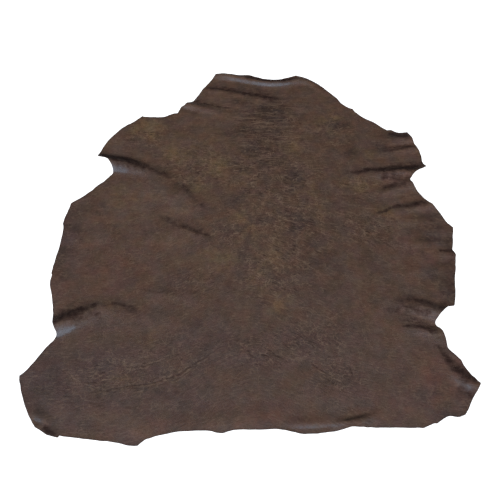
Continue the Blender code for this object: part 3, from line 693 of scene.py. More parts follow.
class Raster:
    """A map of the hide in small squares, for quick questions about a place."""

    CELL = 0.004
    MARGIN = 0.02

    def __init__(self):
        low, high = SOLID_BOX
        self.low = np.array((low.x, low.y)) - self.MARGIN
        high = np.array((high.x, high.y)) + self.MARGIN
        self.shape = tuple(np.ceil((high - self.low) / self.CELL).astype(int))

    def cells(self, points):
        """The squares that the points lie in."""
        at = ((points - self.low) / self.CELL).astype(int)
        return tuple(np.clip(at, 0, np.array(self.shape) - 1).T)

    def painted(self, points):
        """A map that is true where one of the points lies."""
        mask = np.zeros(self.shape, bool)
        mask[self.cells(points)] = True
        return mask

    def grown(self, mask, reach):
        """The map with its true part grown by a reach in metres."""
        for _ in range(round(reach / self.CELL)):
            wider = mask.copy()
            wider[1:] |= mask[:-1]
            wider[:-1] |= mask[1:]
            wider[:, 1:] |= mask[:, :-1]
            wider[:, :-1] |= mask[:, 1:]
            mask = wider
        return mask


def fine_zones(face, raster):
    """Maps of where the hide lies, where it is lifted into folds, and where it is creased."""
    survey = triangular_grid(SURVEY_STEP)
    survey = survey[[face.inside(p) for p in survey]]
    hide = raster.grown(raster.painted(survey), raster.CELL)
    lifted = (face.height(survey) > THICKNESS + LIFTED) | (swell_height(survey) > HIGH_SWELL)
    folds = raster.grown(raster.painted(survey[lifted]), FOOT)
    steep = [plan_line(swell.crest)[:, :2] for swell in SWELLS.values() if swell.tail_side < STEEP_SIDE]
    folds |= raster.grown(raster.painted(np.vstack(steep)), STEEP_SIDE)
    creased = np.vstack([plan_line(crease.line)[:, :2] for crease in CREASES.values()])
    creases = raster.grown(raster.painted(creased), CREASE_ZONE)
    return hide, folds, creases


def edge_finder(ring):
    """A finder of the cut edge's nearest point."""
    edge = kdtree.KDTree(len(ring))
    for at, point in enumerate(ring):
        edge.insert((*point, 0.0), at)
    edge.balance()
    return edge


def spread_points(ring, raster, hide, zones):
    """Points inside the cut edge, on the finest of the given grids that each place asks for.

    The zones are pairs of a map and a step, the finest first. The last one covers the rest of the hide.
    """
    edge = edge_finder(ring)
    taken = np.zeros(raster.shape, bool)
    kept = []
    for zone, step in zones:
        grid = triangular_grid(step)
        cells = raster.cells(grid)
        grid = grid[hide[cells] & zone[cells] & ~taken[cells]]
        room = max(EDGE_ROOM * step, LEAST_EDGE_ROOM * EDGE_STEP)
        kept += [p for p in grid if edge.find((*p, 0.0))[2] > room]
        taken |= zone
    return np.array(kept)


def inside_ring(points, ring):
    """Which points lie inside the ring."""
    start, stop = ring, np.roll(ring, -1, axis=0)
    inside = np.zeros(len(points), bool)
    for (x0, y0), (x1, y1) in zip(start, stop):
        if y0 == y1:
            continue
        spans = (points[:, 1] < y0) != (points[:, 1] < y1)
        crossing = x0 + (x1 - x0) * (points[:, 1] - y0) / (y1 - y0)
        inside ^= spans & (points[:, 0] < crossing)
    return inside


def triangulated(ring, points):
    """The sheet's plan as points, with the ring first, and triangles."""
    points = points[inside_ring(points, ring)]
    corners = [Vector(p) for p in np.vstack([ring, points])]
    plan, _, triangles, *_ = delaunay_2d_cdt(corners, [], [list(range(len(ring)))], 1, SMALLEST_GAP)
    return np.array([tuple(p) for p in plan]), np.array(triangles)


def smoothed(values, triangles, rounds):
    """The values with each one drawn towards the mean of its neighbours, a few times over."""
    pairs = np.vstack([triangles[:, [0, 1]], triangles[:, [1, 2]], triangles[:, [2, 0]]])
    pairs = np.unique(np.sort(pairs, axis=1), axis=0)
    count = np.bincount(pairs.ravel(), minlength=len(values))
    for _ in range(rounds):
        total = np.bincount(pairs[:, 0], values[pairs[:, 1]], len(values))
        total += np.bincount(pairs[:, 1], values[pairs[:, 0]], len(values))
        values = 0.5 * values + 0.5 * total / count
    return values


def swell_height(points):
    """How high the broad waves lift the leather at each plan point."""
    height = np.zeros(len(points))
    for swell in SWELLS.values():
        crest = plan_line(swell.crest, FIELD_STEP)
        near, distance, share, side = beside(crest, points, max(swell.neck_side, swell.tail_side))
        towards_neck = (side > 0) == (crest[-1, 0] > crest[0, 0])
        width = np.where(towards_neck, swell.neck_side, swell.tail_side)
        top = np.interp(share, np.arange(len(crest)), crest[:, 2].clip(min=0.0))
        lift = top * np.cos(math.pi / 2 * np.clip(distance / width, 0.0, 1.0)) ** 2
        height[near] = np.maximum(height[near], lift)
    return height


def edge_distances(points, ring):
    """How far each plan point lies from the cut edge, and the length of the edge up to there."""
    travelled = np.cumsum(np.linalg.norm(ring - np.roll(ring, 1, axis=0), axis=1))
    edge = edge_finder(ring)
    found = [edge.find((*p, 0.0)) for p in points]
    return np.array([f[2] for f in found]), travelled[[f[1] for f in found]]


def edge_lift(distance, travelled):
    """How high the cut edge stands off the floor, here and there, fading out inwards."""
    wave = waves_along(travelled, EDGE_WAVES_PER_METRE, EDGE_LIFT_SEED)
    return EDGE_LIFT * wave.clip(min=0.0) * np.clip(1 - distance / EDGE_LIFT_WIDTH, 0.0, 1.0) ** 2


def wavering(points):
    """The plan points moved a little to and fro, so that lines drawn on them waver."""
    noise.seed_set(WAVER_SEED)
    moved = np.array(points)
    for amount, frequency in ((WAVER, WAVER_PER_METRE), (SHORT_WAVER, SHORT_WAVER_PER_METRE)):
        shift = [noise.noise_vector(Vector((*p, 0.0)) * frequency)[:2] for p in points]
        moved += amount * np.array(shift)
    return moved


def crease_relief(points):
    """The creases at each plan point: how high it lies, below zero in a trough and above it on the lips, how
    dark its trough is painted with shade and how far it is rubbed."""
    relief, dark, rubbed = np.zeros((3, len(points)))
    points = wavering(points)
    for crease in CREASES.values():
        line = plan_line(crease.line)
        near, distance, share, _ = beside(line, points, CREASE_REACH * crease.width)
        strength = fade(share, len(line) - 1, CREASE_ENDS)
        across = distance / crease.width
        trough = (1 - LIP_SHARE * across**2) * np.exp(-across**2 / CREASE_FADE)
        lips = np.exp(-(across - RUBBED_AT) ** 2 / RUBBED_FADE)
        relief[near] -= crease.depth * strength * trough
        dark[near] = np.maximum(dark[near], crease.dark * strength * np.exp(-across**2))
        rubbed[near] = np.maximum(rubbed[near], crease.rubbed * strength * lips)
    return relief, dark, rubbed


def band_strength(points, bands):
    """How strongly a family of bands marks each plan point, from 0 to 1."""
    strength = np.zeros(len(points))
    for band in bands.values():
        line = plan_line(band.line)
        near, distance, share, _ = beside(line, points, BAND_REACH * line[:, 2].max())
        width = np.interp(share, np.arange(len(line)), line[:, 2])
        mark = band.strength * fade(share, len(line) - 1, BAND_ENDS) * np.exp(-(distance / width) ** 2)
        strength[near] = np.maximum(strength[near], mark)
    return strength


def painted_rim_shade(distance, travelled):
    """How dark the rim is painted with shade along the cut edge, here and there."""
    wave = waves_along(travelled, RIM_SHADE_WAVES_PER_METRE, RIM_SHADE_SEED)
    line_shade = (RIM_SHADE + RIM_SHADE * RIM_SHADE_SWING * wave).clip(min=0.0)
    return line_shade * np.exp(-(distance / RIM_SHADE_WIDTH) ** 2)


def patch_strength(points, patches):
    """How strongly a family of soft patches colours each plan point, from 0 to 1."""
    strength = np.zeros(len(points))
    for across, along, wide, long, most in patches:
        away = (points - np.array(on_plan(across, along))) / (wide, long)
        strength = np.maximum(strength, most * np.exp(-(away**2).sum(1)))
    return strength


def growth_lines(places):
    """Coordinates that run with the leather's growth: level on the neck, falling outwards below it, and along
    the folds where it is lifted."""
    backbone, tail_line = on_plan(0.0, 0.0)
    across, along = places[:, 0] - backbone, places[:, 1] - tail_line
    fall = OUTWARD_FALL * np.clip((NECK_START - along) / NECK_BLEND, 0.0, 1.0)
    outwards = np.sqrt(across**2 + BACK_ROUNDING**2) - BACK_ROUNDING
    level = along + fall * FALL_REACH * np.tanh(outwards / FALL_REACH)
    return np.column_stack([across, level + FOLD_DRAW * places[:, 2], np.zeros(len(places))])


def heights_below(points, plan, heights, faces):
    """The height of a sheet, given as plan, heights and triangles, at other plan points."""
    sheet = BVHTree.FromPolygons(np.column_stack([plan, heights]).tolist(), faces.tolist())
    found = np.empty(len(points))
    for at, point in enumerate(points):
        spot = look_down(sheet, point)[0]
        found[at] = THICKNESS if spot is None else spot.z
    return found


def paint(mesh, name, kind, field, values):
    """Stores values on a mesh's points."""
    layer = mesh.attributes.new(name, kind, "POINT")
    layer.data.foreach_set(field, np.asarray(values, np.float32).ravel())


def make_sheet():
    """The hide as one closed sheet: grain side, flesh side and cut edge."""
    face = UpperFace(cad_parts["hide"])
    ring = cut_edge(face.ring)
    raster = Raster()
    hide, folds, creases = fine_zones(face, raster)
    rim = raster.grown(raster.painted(ring), RIM_ZONE)
    whole = np.ones(raster.shape, bool)
    grain_zones = ((creases, CREASE_STEP), (folds | rim, FOLD_STEP), (whole, FIELD_STEP))
    flesh_zones = ((folds, FLESH_FOLD_STEP), (whole, FLESH_FIELD_STEP))
    grain_plan, grain_faces = triangulated(ring, spread_points(ring, raster, hide, grain_zones))
    flesh_plan, flesh_faces = triangulated(ring, spread_points(ring, raster, hide, flesh_zones))

    # Painted shade in the creases' troughs and along the rim
    relief, dark, rubbed = crease_relief(grain_plan)
    distance, travelled = edge_distances(grain_plan, ring)
    dark = np.maximum(dark, painted_rim_shade(distance, travelled))
    lying = np.maximum(smoothed(face.height(grain_plan), grain_faces, SMOOTHING_ROUNDS), THICKNESS)
    lying += swell_height(grain_plan) + edge_lift(distance, travelled)
    flesh_height = np.maximum(heights_below(flesh_plan, grain_plan, lying, grain_faces) - THICKNESS, 0.0)
    flesh_height[: len(ring)] = np.maximum(lying[: len(ring)] - THICKNESS, 0.0)
    under = heights_below(grain_plan, flesh_plan, flesh_height, flesh_faces)
    under[: len(ring)] = flesh_height[: len(ring)]
    grain_height = np.maximum(lying + relief, under + THINNEST)

    plan = np.vstack([grain_plan, flesh_plan])
    places = np.column_stack([plan, np.append(grain_height, flesh_height)])
    count, below = len(ring), len(grain_plan)
    corner = np.arange(count)
    ahead = (corner + 1) % count
    rim_faces = np.vstack([
        np.column_stack([corner, corner + below, ahead + below]),
        np.column_stack([corner, ahead + below, ahead]),
    ])
    faces = np.vstack([grain_faces, flesh_faces[:, ::-1] + below, rim_faces])
    mesh = bpy.data.meshes.new("hide-leather")
    mesh.from_pydata(places.tolist(), [], faces.tolist())
    slots = np.repeat((0, 1, 2), (len(grain_faces), len(flesh_faces), len(rim_faces)))
    mesh.polygons.foreach_set("material_index", slots.astype(np.int32))
    mesh.shade_smooth()
    mark_edges_sharp(mesh, count, below)

    for name, patches in PATCHES.items():
        paint(mesh, name, "FLOAT", "value", patch_strength(plan, patches))
    # Painted shade: the slopes that face the neck, away from the lights, and the listed bands are darkened
    normals = np.zeros(len(plan) * 3, np.float32)
    mesh.vertex_normals.foreach_get("vector", normals)
    facing_neck = normals.reshape(-1, 3)[:below, 1]
    painted_shade = STEEP_SHADE * np.clip((facing_neck - SHADE_FROM) / (SHADE_FULL - SHADE_FROM), 0.0, 1.0)
    painted_shade = np.maximum(painted_shade, band_strength(wavering(grain_plan), SHADE_BANDS))
    flesh = np.zeros(len(flesh_plan))
    paint(mesh, "line_shade", "FLOAT", "value", np.append(dark, flesh))
    paint(mesh, "rubbed", "FLOAT", "value", np.append(rubbed, flesh))
    paint(mesh, "painted_shade", "FLOAT", "value", np.append(painted_shade, flesh))
    paint(mesh, "burnish", "FLOAT", "value", band_strength(plan, BURNISHED))
    paint(mesh, "growth", "FLOAT_VECTOR", "vector", growth_lines(places))
    return mesh


def mark_edges_sharp(mesh, count, below):
    """Keeps the cut square: the shading breaks where the grain and flesh sides meet the cut edge."""
    sharp = np.zeros(len(mesh.edges), bool)
    ends = np.zeros(len(mesh.edges) * 2, np.int32)
    mesh.edges.foreach_get("vertices", ends)
    ends = np.sort(ends.reshape(-1, 2), axis=1)
    for first in (0, below):
        both = ((ends >= first) & (ends < first + count)).all(1)
        step = ends[:, 1] - ends[:, 0]
        sharp |= both & ((step == 1) | (step == count - 1))
    layer = mesh.attributes.new("sharp_edge", "BOOLEAN", "EDGE")
    layer.data.foreach_set("value", sharp)


class Nodes:
    """A shader tree that is written from left to right. A socket takes a value or another node's output."""

    def __init__(self, tree):
        self.tree = tree

    def add(self, kind, settings=None, sockets=None):
        node = self.tree.nodes.new(kind)
        for name, value in (settings or {}).items():
            setattr(node, name, value)
        for name, value in (sockets or {}).items():
            socket = next(s for s in node.inputs if name in (s.identifier, s.name))
            if isinstance(value, bpy.types.NodeSocket):
                self.tree.links.new(value, socket)
            else:
                socket.default_value = value
        return node

    def noise(self, vector, scale, detail=2.0, roughness=0.5, distortion=0.0):
        sockets = {"Vector": vector, "Scale": scale, "Detail": detail, "Roughness": roughness}
        sockets["Distortion"] = distortion
        return self.add("ShaderNodeTexNoise", None, sockets).outputs["Fac"]

    def math(self, operation, first, second=0.0, clamp=False):
        settings = {"operation": operation, "use_clamp": clamp}
        return self.add("ShaderNodeMath", settings, {"Value": first, "Value_001": second}).outputs[0]

    def ramp(self, value, low, high, start=0.0, stop=1.0):
        """A soft step: start below low, stop above high."""
        sockets = {"Value": value, "From Min": low, "From Max": high, "To Min": start, "To Max": stop}
        return self.add("ShaderNodeMapRange", {"interpolation_type": "SMOOTHSTEP"}, sockets).outputs["Result"]

    def mix(self, share, first, second, blend="MIX"):
        settings = {"data_type": "RGBA", "blend_type": blend}
        sockets = {"Factor_Float": share, "A_Color": first, "B_Color": second}
        node = self.add("ShaderNodeMix", settings, sockets)
        return next(s for s in node.outputs if s.identifier == "Result_Color")

    def placed(self, vector, stretch=(1.0, 1.0, 1.0), shift=(0.0, 0.0, 0.0)):
        """Coordinates that are stretched and then moved."""
        sockets = {"Vector": vector, "Scale": stretch, "Location": shift}
        return self.add("ShaderNodeMapping", None, sockets).outputs["Vector"]

    def group(self, tree, sockets):
        return self.add("ShaderNodeGroup", {"node_tree": tree}, sockets).outputs

    def attribute(self, name):
        return self.add("ShaderNodeAttribute", {"attribute_name": name}).outputs


def new_group(name, inputs, outputs):
    """An empty shader node group with named sockets, its writer, its input sockets and its output node."""
    tree = bpy.data.node_groups.new(name, "ShaderNodeTree")
    for label, kind, value in inputs:
        socket = tree.interface.new_socket(label, in_out="INPUT", socket_type=kind)
        if value is not None:
            socket.default_value = value
    for label, kind in outputs:
        tree.interface.new_socket(label, in_out="OUTPUT", socket_type=kind)
    nodes = Nodes(tree)
    return tree, nodes, nodes.add("NodeGroupInput").outputs, nodes.add("NodeGroupOutput")


def ragged_patch_group():
    """A soft patch from the mesh, with its borders broken up as dye and wax break up."""
    tree, nodes, given, result = new_group("ragged patch", (
        ("Vector", "NodeSocketVector", None), ("Amount", "NodeSocketFloat", 0.0),
        ("Scale", "NodeSocketFloat", 8.0), ("Raggedness", "NodeSocketFloat", 0.6),
    ), (("Mask", "NodeSocketFloat"),))
    cloud = nodes.noise(given["Vector"], scale=given["Scale"], detail=5.0, roughness=0.65)
    swing = nodes.math("MULTIPLY", nodes.math("SUBTRACT", cloud, 0.5), given["Raggedness"])
    sure = nodes.math("MULTIPLY", nodes.math("ADD", given["Amount"], 0.30), swing)
    total = nodes.math("ADD", given["Amount"], nodes.math("MULTIPLY", sure, 2.0))
    nodes.tree.links.new(nodes.ramp(total, low=0.0, high=1.0), result.inputs["Mask"])
    return tree


def crackle_group():
    """Fine broken lines round small fields of grain, as waxed leather crackles when it is pulled."""
    tree, nodes, given, result = new_group("crackle", (
        ("Vector", "NodeSocketVector", None), ("Scale", "NodeSocketFloat", 40.0),
        ("Width", "NodeSocketFloat", 0.08), ("Breaks", "NodeSocketFloat", 0.5),
    ), (("Lines", "NodeSocketFloat"),))
    bend = nodes.add("ShaderNodeTexNoise", None, {
        "Vector": given["Vector"], "Scale": nodes.math("MULTIPLY", given["Scale"], 0.7), "Detail": 2.0,
    }).outputs["Color"]
    amount = nodes.math("DIVIDE", 0.5, given["Scale"])
    swing = nodes.add("ShaderNodeVectorMath", {"operation": "SUBTRACT"}, {
        "Vector": bend, "Vector_001": (0.5, 0.5, 0.5),
    }).outputs[0]
    swing = nodes.add("ShaderNodeVectorMath", {"operation": "SCALE"}, {
        "Vector": swing, "Scale": amount,
    }).outputs[0]
    bent = nodes.add("ShaderNodeVectorMath", {"operation": "ADD"}, {
        "Vector": given["Vector"], "Vector_001": swing,
    }).outputs[0]
    cells = nodes.add("ShaderNodeTexVoronoi", {"feature": "DISTANCE_TO_EDGE"}, {
        "Vector": bent, "Scale": given["Scale"],
    }).outputs["Distance"]
    line = nodes.math("SUBTRACT", 1.0, nodes.math("DIVIDE", cells, given["Width"]), clamp=True)
    cut = nodes.noise(given["Vector"], scale=nodes.math("MULTIPLY", given["Scale"], 0.6), detail=2.0)
    there = nodes.ramp(cut, low=given["Breaks"], high=nodes.math("ADD", given["Breaks"], 0.10))
    nodes.tree.links.new(nodes.math("MULTIPLY", line, there), result.inputs["Lines"])
    return tree


def stroke_group():
    """Short thin strokes along the growth lines."""
    tree, nodes, given, result = new_group("strokes", (
        ("Vector", "NodeSocketVector", None), ("Scale", "NodeSocketFloat", 100.0),
        ("Sparseness", "NodeSocketFloat", 0.6),
    ), (("Lines", "NodeSocketFloat"),))
    pulled = nodes.placed(given["Vector"], stretch=(0.24, 1.0, 1.0))
    grain = nodes.noise(pulled, scale=given["Scale"], detail=1.0, roughness=0.5, distortion=0.4)
    there = nodes.ramp(grain, low=given["Sparseness"], high=nodes.math("ADD", given["Sparseness"], 0.08))
    clumps = nodes.noise(given["Vector"], scale=16.0, detail=2.0, roughness=0.6)
    clumps = nodes.ramp(clumps, low=0.38, high=0.62, start=0.25, stop=1.0)
    nodes.tree.links.new(nodes.math("MULTIPLY", there, clumps), result.inputs["Lines"])
    return tree


def fibre_group():
    """Short matted fibres, for the flesh side and the cut edge."""
    tree, nodes, given, result = new_group("matted fibres", (
        ("Vector", "NodeSocketVector", None), ("Scale", "NodeSocketFloat", 300.0),
    ), (("Shade", "NodeSocketFloat"), ("Height", "NodeSocketFloat")))
    tufts = nodes.math("MULTIPLY", given["Scale"], 0.12)
    broad = nodes.noise(given["Vector"], scale=tufts, detail=3.0, roughness=0.6)
    fine = nodes.noise(given["Vector"], scale=given["Scale"], detail=4.0, roughness=0.7, distortion=1.2)
    shade = nodes.math("ADD", nodes.math("MULTIPLY", broad, 0.6), nodes.math("MULTIPLY", fine, 0.4))
    nodes.tree.links.new(shade, result.inputs["Shade"])
    nodes.tree.links.new(fine, result.inputs["Height"])
    return tree


# How strongly light and dark lines, and polish, colour the brown of the grain side
LIGHT_LINES = 0.62
LIGHT_STROKES = 0.85
DARK_LINES = 0.70
POLISH_DARKENS = 0.55
# How far lines and painted shade dull it, how far darkened places lose their shine, and its coat of polish
LINES_DULL = 0.06
SHADE_DULLS = 0.30
SHINE = 0.5
DARKENED_DULLS = 0.32
COAT = 0.5
COAT_ROUGHNESS = 0.28
LEATHER_IOR = 1.45
# The relief of the grain side: the share of each mark in it, its strength and its depth in metres
PEBBLES = 0.08
PEBBLES_PER_METRE = 420.0
WRINKLES = 0.9
UNEVENNESS = 0.8
DARK_LINES_DEPTH = 0.25
GRAIN_STRENGTH = 0.9
GRAIN_DEPTH = 0.0016
# The relief of bare fibres
NAP_STRENGTH = 0.6
NAP_DEPTH = 0.0006
# The leather's colours, as they are under a white light
BROWN = (0.0480, 0.0262, 0.0175, 1.0)
OLIVE = (0.0680, 0.0398, 0.0212, 1.0)
THICK_WAX = (0.0260, 0.0150, 0.0112, 1.0)
RED = (0.0580, 0.0265, 0.0178, 1.0)
PALE = (0.0610, 0.0350, 0.0240, 1.0)
PURPLE = (0.0400, 0.0229, 0.0190, 1.0)
# The painted shade's colour, also that of the dark crackle lines
DARK = (0.0158, 0.0076, 0.0056, 1.0)
WARMER = (1.04, 1.01, 0.92, 1.0)
COOLER = (0.96, 0.99, 1.08, 1.0)
REDDER = (1.03, 0.98, 0.98, 1.0)
GREENER = (0.96, 1.02, 1.00, 1.0)
TAN = (0.1280, 0.0820, 0.0520, 1.0)
FLESH = (0.150, 0.098, 0.066, 1.0)
FLESH_DARK = (0.085, 0.052, 0.034, 1.0)
EDGE = (0.075, 0.046, 0.030, 1.0)
EDGE_DARK = (0.030, 0.018, 0.012, 1.0)
# The patches' tones: rows of (patch, colour, how fine its ragged border is, how ragged)
TONES = (
    ("red", RED, 7.0, 1.0),
    ("purple", PURPLE, 9.0, 1.0),
    ("pale", PALE, 8.0, 1.0),
    ("olive", OLIVE, 13.0, 1.8),
    ("dark", THICK_WAX, 12.0, 1.5),
)


def tone_colours(nodes, place, patch):
    """The brown with its olive, red, purple and dark patches, and clouds from hand-sized to grain-sized."""
    colour = BROWN
    for name, shade, scale, raggedness in TONES:
        mask = nodes.group(patch, {
            "Vector": place, "Amount": nodes.attribute(name)["Fac"], "Scale": scale, "Raggedness": raggedness,
        })["Mask"]
        colour = nodes.mix(mask, colour, shade)
    warmth = nodes.ramp(nodes.noise(place, scale=9.0, detail=2.0, roughness=0.5), low=0.35, high=0.65)
    colour = nodes.mix(1.0, colour, nodes.mix(warmth, COOLER, WARMER), "MULTIPLY")
    aside = nodes.placed(place, shift=(3.1, 1.7, 0.0))
    redness = nodes.ramp(nodes.noise(aside, scale=14.0, detail=2.0, roughness=0.5), low=0.38, high=0.62)
    colour = nodes.mix(1.0, colour, nodes.mix(redness, GREENER, REDDER), "MULTIPLY")
    # The smooth belly is mottled less than the crackled back
    rough = nodes.ramp(nodes.attribute("crackle")["Fac"], low=0.0, high=0.8, start=0.45, stop=1.0)
    clouds = nodes.noise(place, scale=10.0, detail=3.0, roughness=0.6)
    clouds = nodes.ramp(clouds, low=0.25, high=0.75, start=0.84, stop=1.14)
    mottle = nodes.noise(place, scale=34.0, detail=3.0, roughness=0.6, distortion=0.3)
    mottle = nodes.ramp(mottle, low=0.25, high=0.75, start=-0.17, stop=0.17)
    grain = nodes.noise(place, scale=190.0, detail=2.0, roughness=0.6)
    grain = nodes.ramp(grain, low=0.25, high=0.75, start=-0.38, stop=0.38)
    fine = nodes.math("ADD", 1.0, nodes.math("MULTIPLY", rough, nodes.math("ADD", mottle, grain)))
    shade = nodes.math("MULTIPLY", clouds, fine)
    shade = nodes.add("ShaderNodeCombineColor", None, {"Red": shade, "Green": shade, "Blue": shade})
    return nodes.mix(1.0, colour, shade.outputs["Color"], "MULTIPLY")


def crackle_lines(nodes, place, growth, crackle, strokes):
    """The light and the dark lines of the crackled grain, denser where the sheet says so."""
    dense = nodes.ramp(nodes.attribute("crackle")["Fac"], low=0.0, high=0.8, start=0.40, stop=1.0)
    drawn = nodes.attribute("drawn")["Fac"]
    level = nodes.placed(growth, stretch=(0.22, 2.0, 1.0))
    aside = nodes.placed(growth, shift=(5.3, 2.9, 0.0))
    net = nodes.group(crackle, {"Vector": place, "Scale": 36.0, "Width": 0.060, "Breaks": 0.49})["Lines"]
    light_strokes = nodes.group(strokes, {"Vector": growth, "Scale": 125.0, "Sparseness": 0.58})["Lines"]
    dark_strokes = nodes.group(strokes, {"Vector": aside, "Scale": 110.0, "Sparseness": 0.58})["Lines"]
    light_growth = nodes.group(crackle, {
        "Vector": level, "Scale": 40.0, "Width": 0.14, "Breaks": 0.46,
    })["Lines"]
    dark_growth = nodes.group(crackle, {
        "Vector": level, "Scale": 33.0, "Width": 0.16, "Breaks": 0.44,
    })["Lines"]
    light_strokes = nodes.math("MULTIPLY", light_strokes, LIGHT_STROKES)
    light = nodes.math("MULTIPLY", nodes.math("MAXIMUM", net, light_strokes), dense)
    light = nodes.math("MAXIMUM", light, nodes.math("MULTIPLY", light_growth, drawn))
    broken = nodes.ramp(nodes.noise(place, scale=48.0, detail=2.0, roughness=0.6), low=0.42, high=0.60)
    light = nodes.math("MAXIMUM", light, nodes.math("MULTIPLY", nodes.attribute("rubbed")["Fac"], broken))
    dark = nodes.math("MULTIPLY", dark_strokes, dense)
    dark = nodes.math("MAXIMUM", dark, nodes.math("MULTIPLY", dark_growth, drawn))
    return light, dark


def grain_side(patch, crackle, strokes):
    """Waxed, rubbed and crackled dark brown grain, with shade painted in the creases, along the rim and on
    the folds' far sides.
    """
    material = bpy.data.materials.new("waxed grain side")
    material.use_nodes = True
    nodes = Nodes(material.node_tree)
    shader = material.node_tree.nodes["Principled BSDF"]
    place = nodes.add("ShaderNodeTexCoord").outputs["Object"]
    growth = nodes.attribute("growth")["Vector"]

    colour = tone_colours(nodes, place, patch)
    light, dark = crackle_lines(nodes, place, growth, crackle, strokes)
    broken = nodes.ramp(nodes.noise(place, scale=70.0, detail=3.0, roughness=0.6), low=0.30, high=0.60)
    # Painted shade in the creases and along the rim, and on the folds' far sides, broken up and streaked
    line_shade = nodes.math("MULTIPLY", nodes.attribute("line_shade")["Fac"], broken)
    streaks = nodes.placed(growth, stretch=(0.4, 2.0, 1.0))
    streaks = nodes.noise(streaks, scale=40.0, detail=3.0, roughness=0.6)
    streaks = nodes.ramp(streaks, low=0.36, high=0.58, start=0.66, stop=0.98)
    painted_shade = nodes.group(patch, {
        "Vector": place, "Amount": nodes.attribute("painted_shade")["Fac"], "Scale": 30.0, "Raggedness": 1.1,
    })["Mask"]
    painted_shade = nodes.math("MULTIPLY", painted_shade, streaks)
    dark_lines = nodes.math("MULTIPLY", dark, DARK_LINES)
    darkness = nodes.math("MAXIMUM", dark_lines, nodes.math("MAXIMUM", line_shade, painted_shade), clamp=True)
    colour = nodes.mix(nodes.math("MULTIPLY", light, LIGHT_LINES), colour, TAN)
    colour = nodes.mix(darkness, colour, DARK)
    polished = nodes.group(patch, {
        "Vector": place, "Amount": nodes.attribute("burnish")["Fac"], "Scale": 36.0, "Raggedness": 0.9,
    })["Mask"]
    colour = nodes.mix(nodes.math("MULTIPLY", polished, POLISH_DARKENS), colour, THICK_WAX)

    # Relief: pebbled grain, growth wrinkles and the lines of the crackle
    cells = nodes.add("ShaderNodeTexVoronoi", {"feature": "SMOOTH_F1"}, {
        "Vector": place, "Scale": PEBBLES_PER_METRE,
    })
    pebbles = nodes.math("MULTIPLY", cells.outputs["Distance"], PEBBLES)
    drawn = nodes.placed(growth, stretch=(1.0, 2.4, 1.0))
    wrinkles = nodes.noise(drawn, scale=34.0, detail=3.0, roughness=0.6, distortion=0.5)
    wrinkles = nodes.math("MULTIPLY", wrinkles, WRINKLES)
    uneven = nodes.math("MULTIPLY", nodes.noise(place, scale=60.0, detail=4.0, roughness=0.6), UNEVENNESS)
    height = nodes.math("ADD", nodes.math("ADD", pebbles, wrinkles), uneven)
    height = nodes.math("SUBTRACT", height, nodes.math("MULTIPLY", dark, DARK_LINES_DEPTH))
    bump = nodes.add("ShaderNodeBump", None, {
        "Strength": GRAIN_STRENGTH, "Distance": GRAIN_DEPTH, "Height": height,
    })
    rough = nodes.noise(place, scale=34.0, detail=3.0, roughness=0.6)
    rough = nodes.ramp(rough, low=0.2, high=0.8, start=0.48, stop=0.60)
    polish = nodes.math("MULTIPLY", polished, nodes.ramp(broken, low=0.0, high=1.0, start=0.18, stop=0.28))
    dull = nodes.math("MULTIPLY", light, LINES_DULL)
    dull = nodes.math("ADD", dull, nodes.math("MULTIPLY", painted_shade, SHADE_DULLS))
    rough = nodes.math("SUBTRACT", nodes.math("ADD", rough, dull), polish, clamp=True)

    nodes.tree.links.new(colour, shader.inputs["Base Color"])
    nodes.tree.links.new(rough, shader.inputs["Roughness"])
    # Where dark lines and painted shade darken it, it hardly shines
    shine = nodes.math("SUBTRACT", SHINE, nodes.math("MULTIPLY", darkness, DARKENED_DULLS))
    nodes.tree.links.new(shine, shader.inputs["Specular IOR Level"])
    nodes.tree.links.new(nodes.math("MULTIPLY", polished, COAT), shader.inputs["Coat Weight"])
    nodes.tree.links.new(bump.outputs["Normal"], shader.inputs["Normal"])
    shader.inputs["Coat Roughness"].default_value = COAT_ROUGHNESS
    shader.inputs["IOR"].default_value = LEATHER_IOR
    return material


def fibrous(name, light, dark, scale, roughness, fibres):
    """Bare leather fibres, without grain or wax."""
    material = bpy.data.materials.new(name)
    material.use_nodes = True
    nodes = Nodes(material.node_tree)
    shader = material.node_tree.nodes["Principled BSDF"]
    place = nodes.add("ShaderNodeTexCoord").outputs["Object"]
    nap = nodes.group(fibres, {"Vector": place, "Scale": scale})
    colour = nodes.mix(nodes.ramp(nap["Shade"], low=0.30, high=0.70), dark, light)
    bump = nodes.add("ShaderNodeBump", None, {
        "Strength": NAP_STRENGTH, "Distance": NAP_DEPTH, "Height": nap["Height"],
    })
    nodes.tree.links.new(colour, shader.inputs["Base Color"])
    nodes.tree.links.new(bump.outputs["Normal"], shader.inputs["Normal"])
    shader.inputs["Roughness"].default_value = roughness
    return material


def make_hide():
    """The finished hide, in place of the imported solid."""
    hide = bpy.data.objects.new("hide-leather", make_sheet())
    bpy.context.scene.collection.objects.link(hide)
    fibres = fibre_group()
    hide.data.materials.append(grain_side(ragged_patch_group(), crackle_group(), stroke_group()))
    hide.data.materials.append(fibrous("flesh side", FLESH, FLESH_DARK, 260.0, 0.95, fibres))
    hide.data.materials.append(fibrous("cut edge", EDGE, EDGE_DARK, 700.0, 0.85, fibres))
    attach(hide, "root")
    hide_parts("hide")
    return hide


# The camera looks 55 degrees down, from beyond the tail edge
CAMERA_PLACE = (-0.013, -2.256, 2.963)
CAMERA_DOWN = math.radians(55)
LENS = 46.8
SENSOR = 36.0

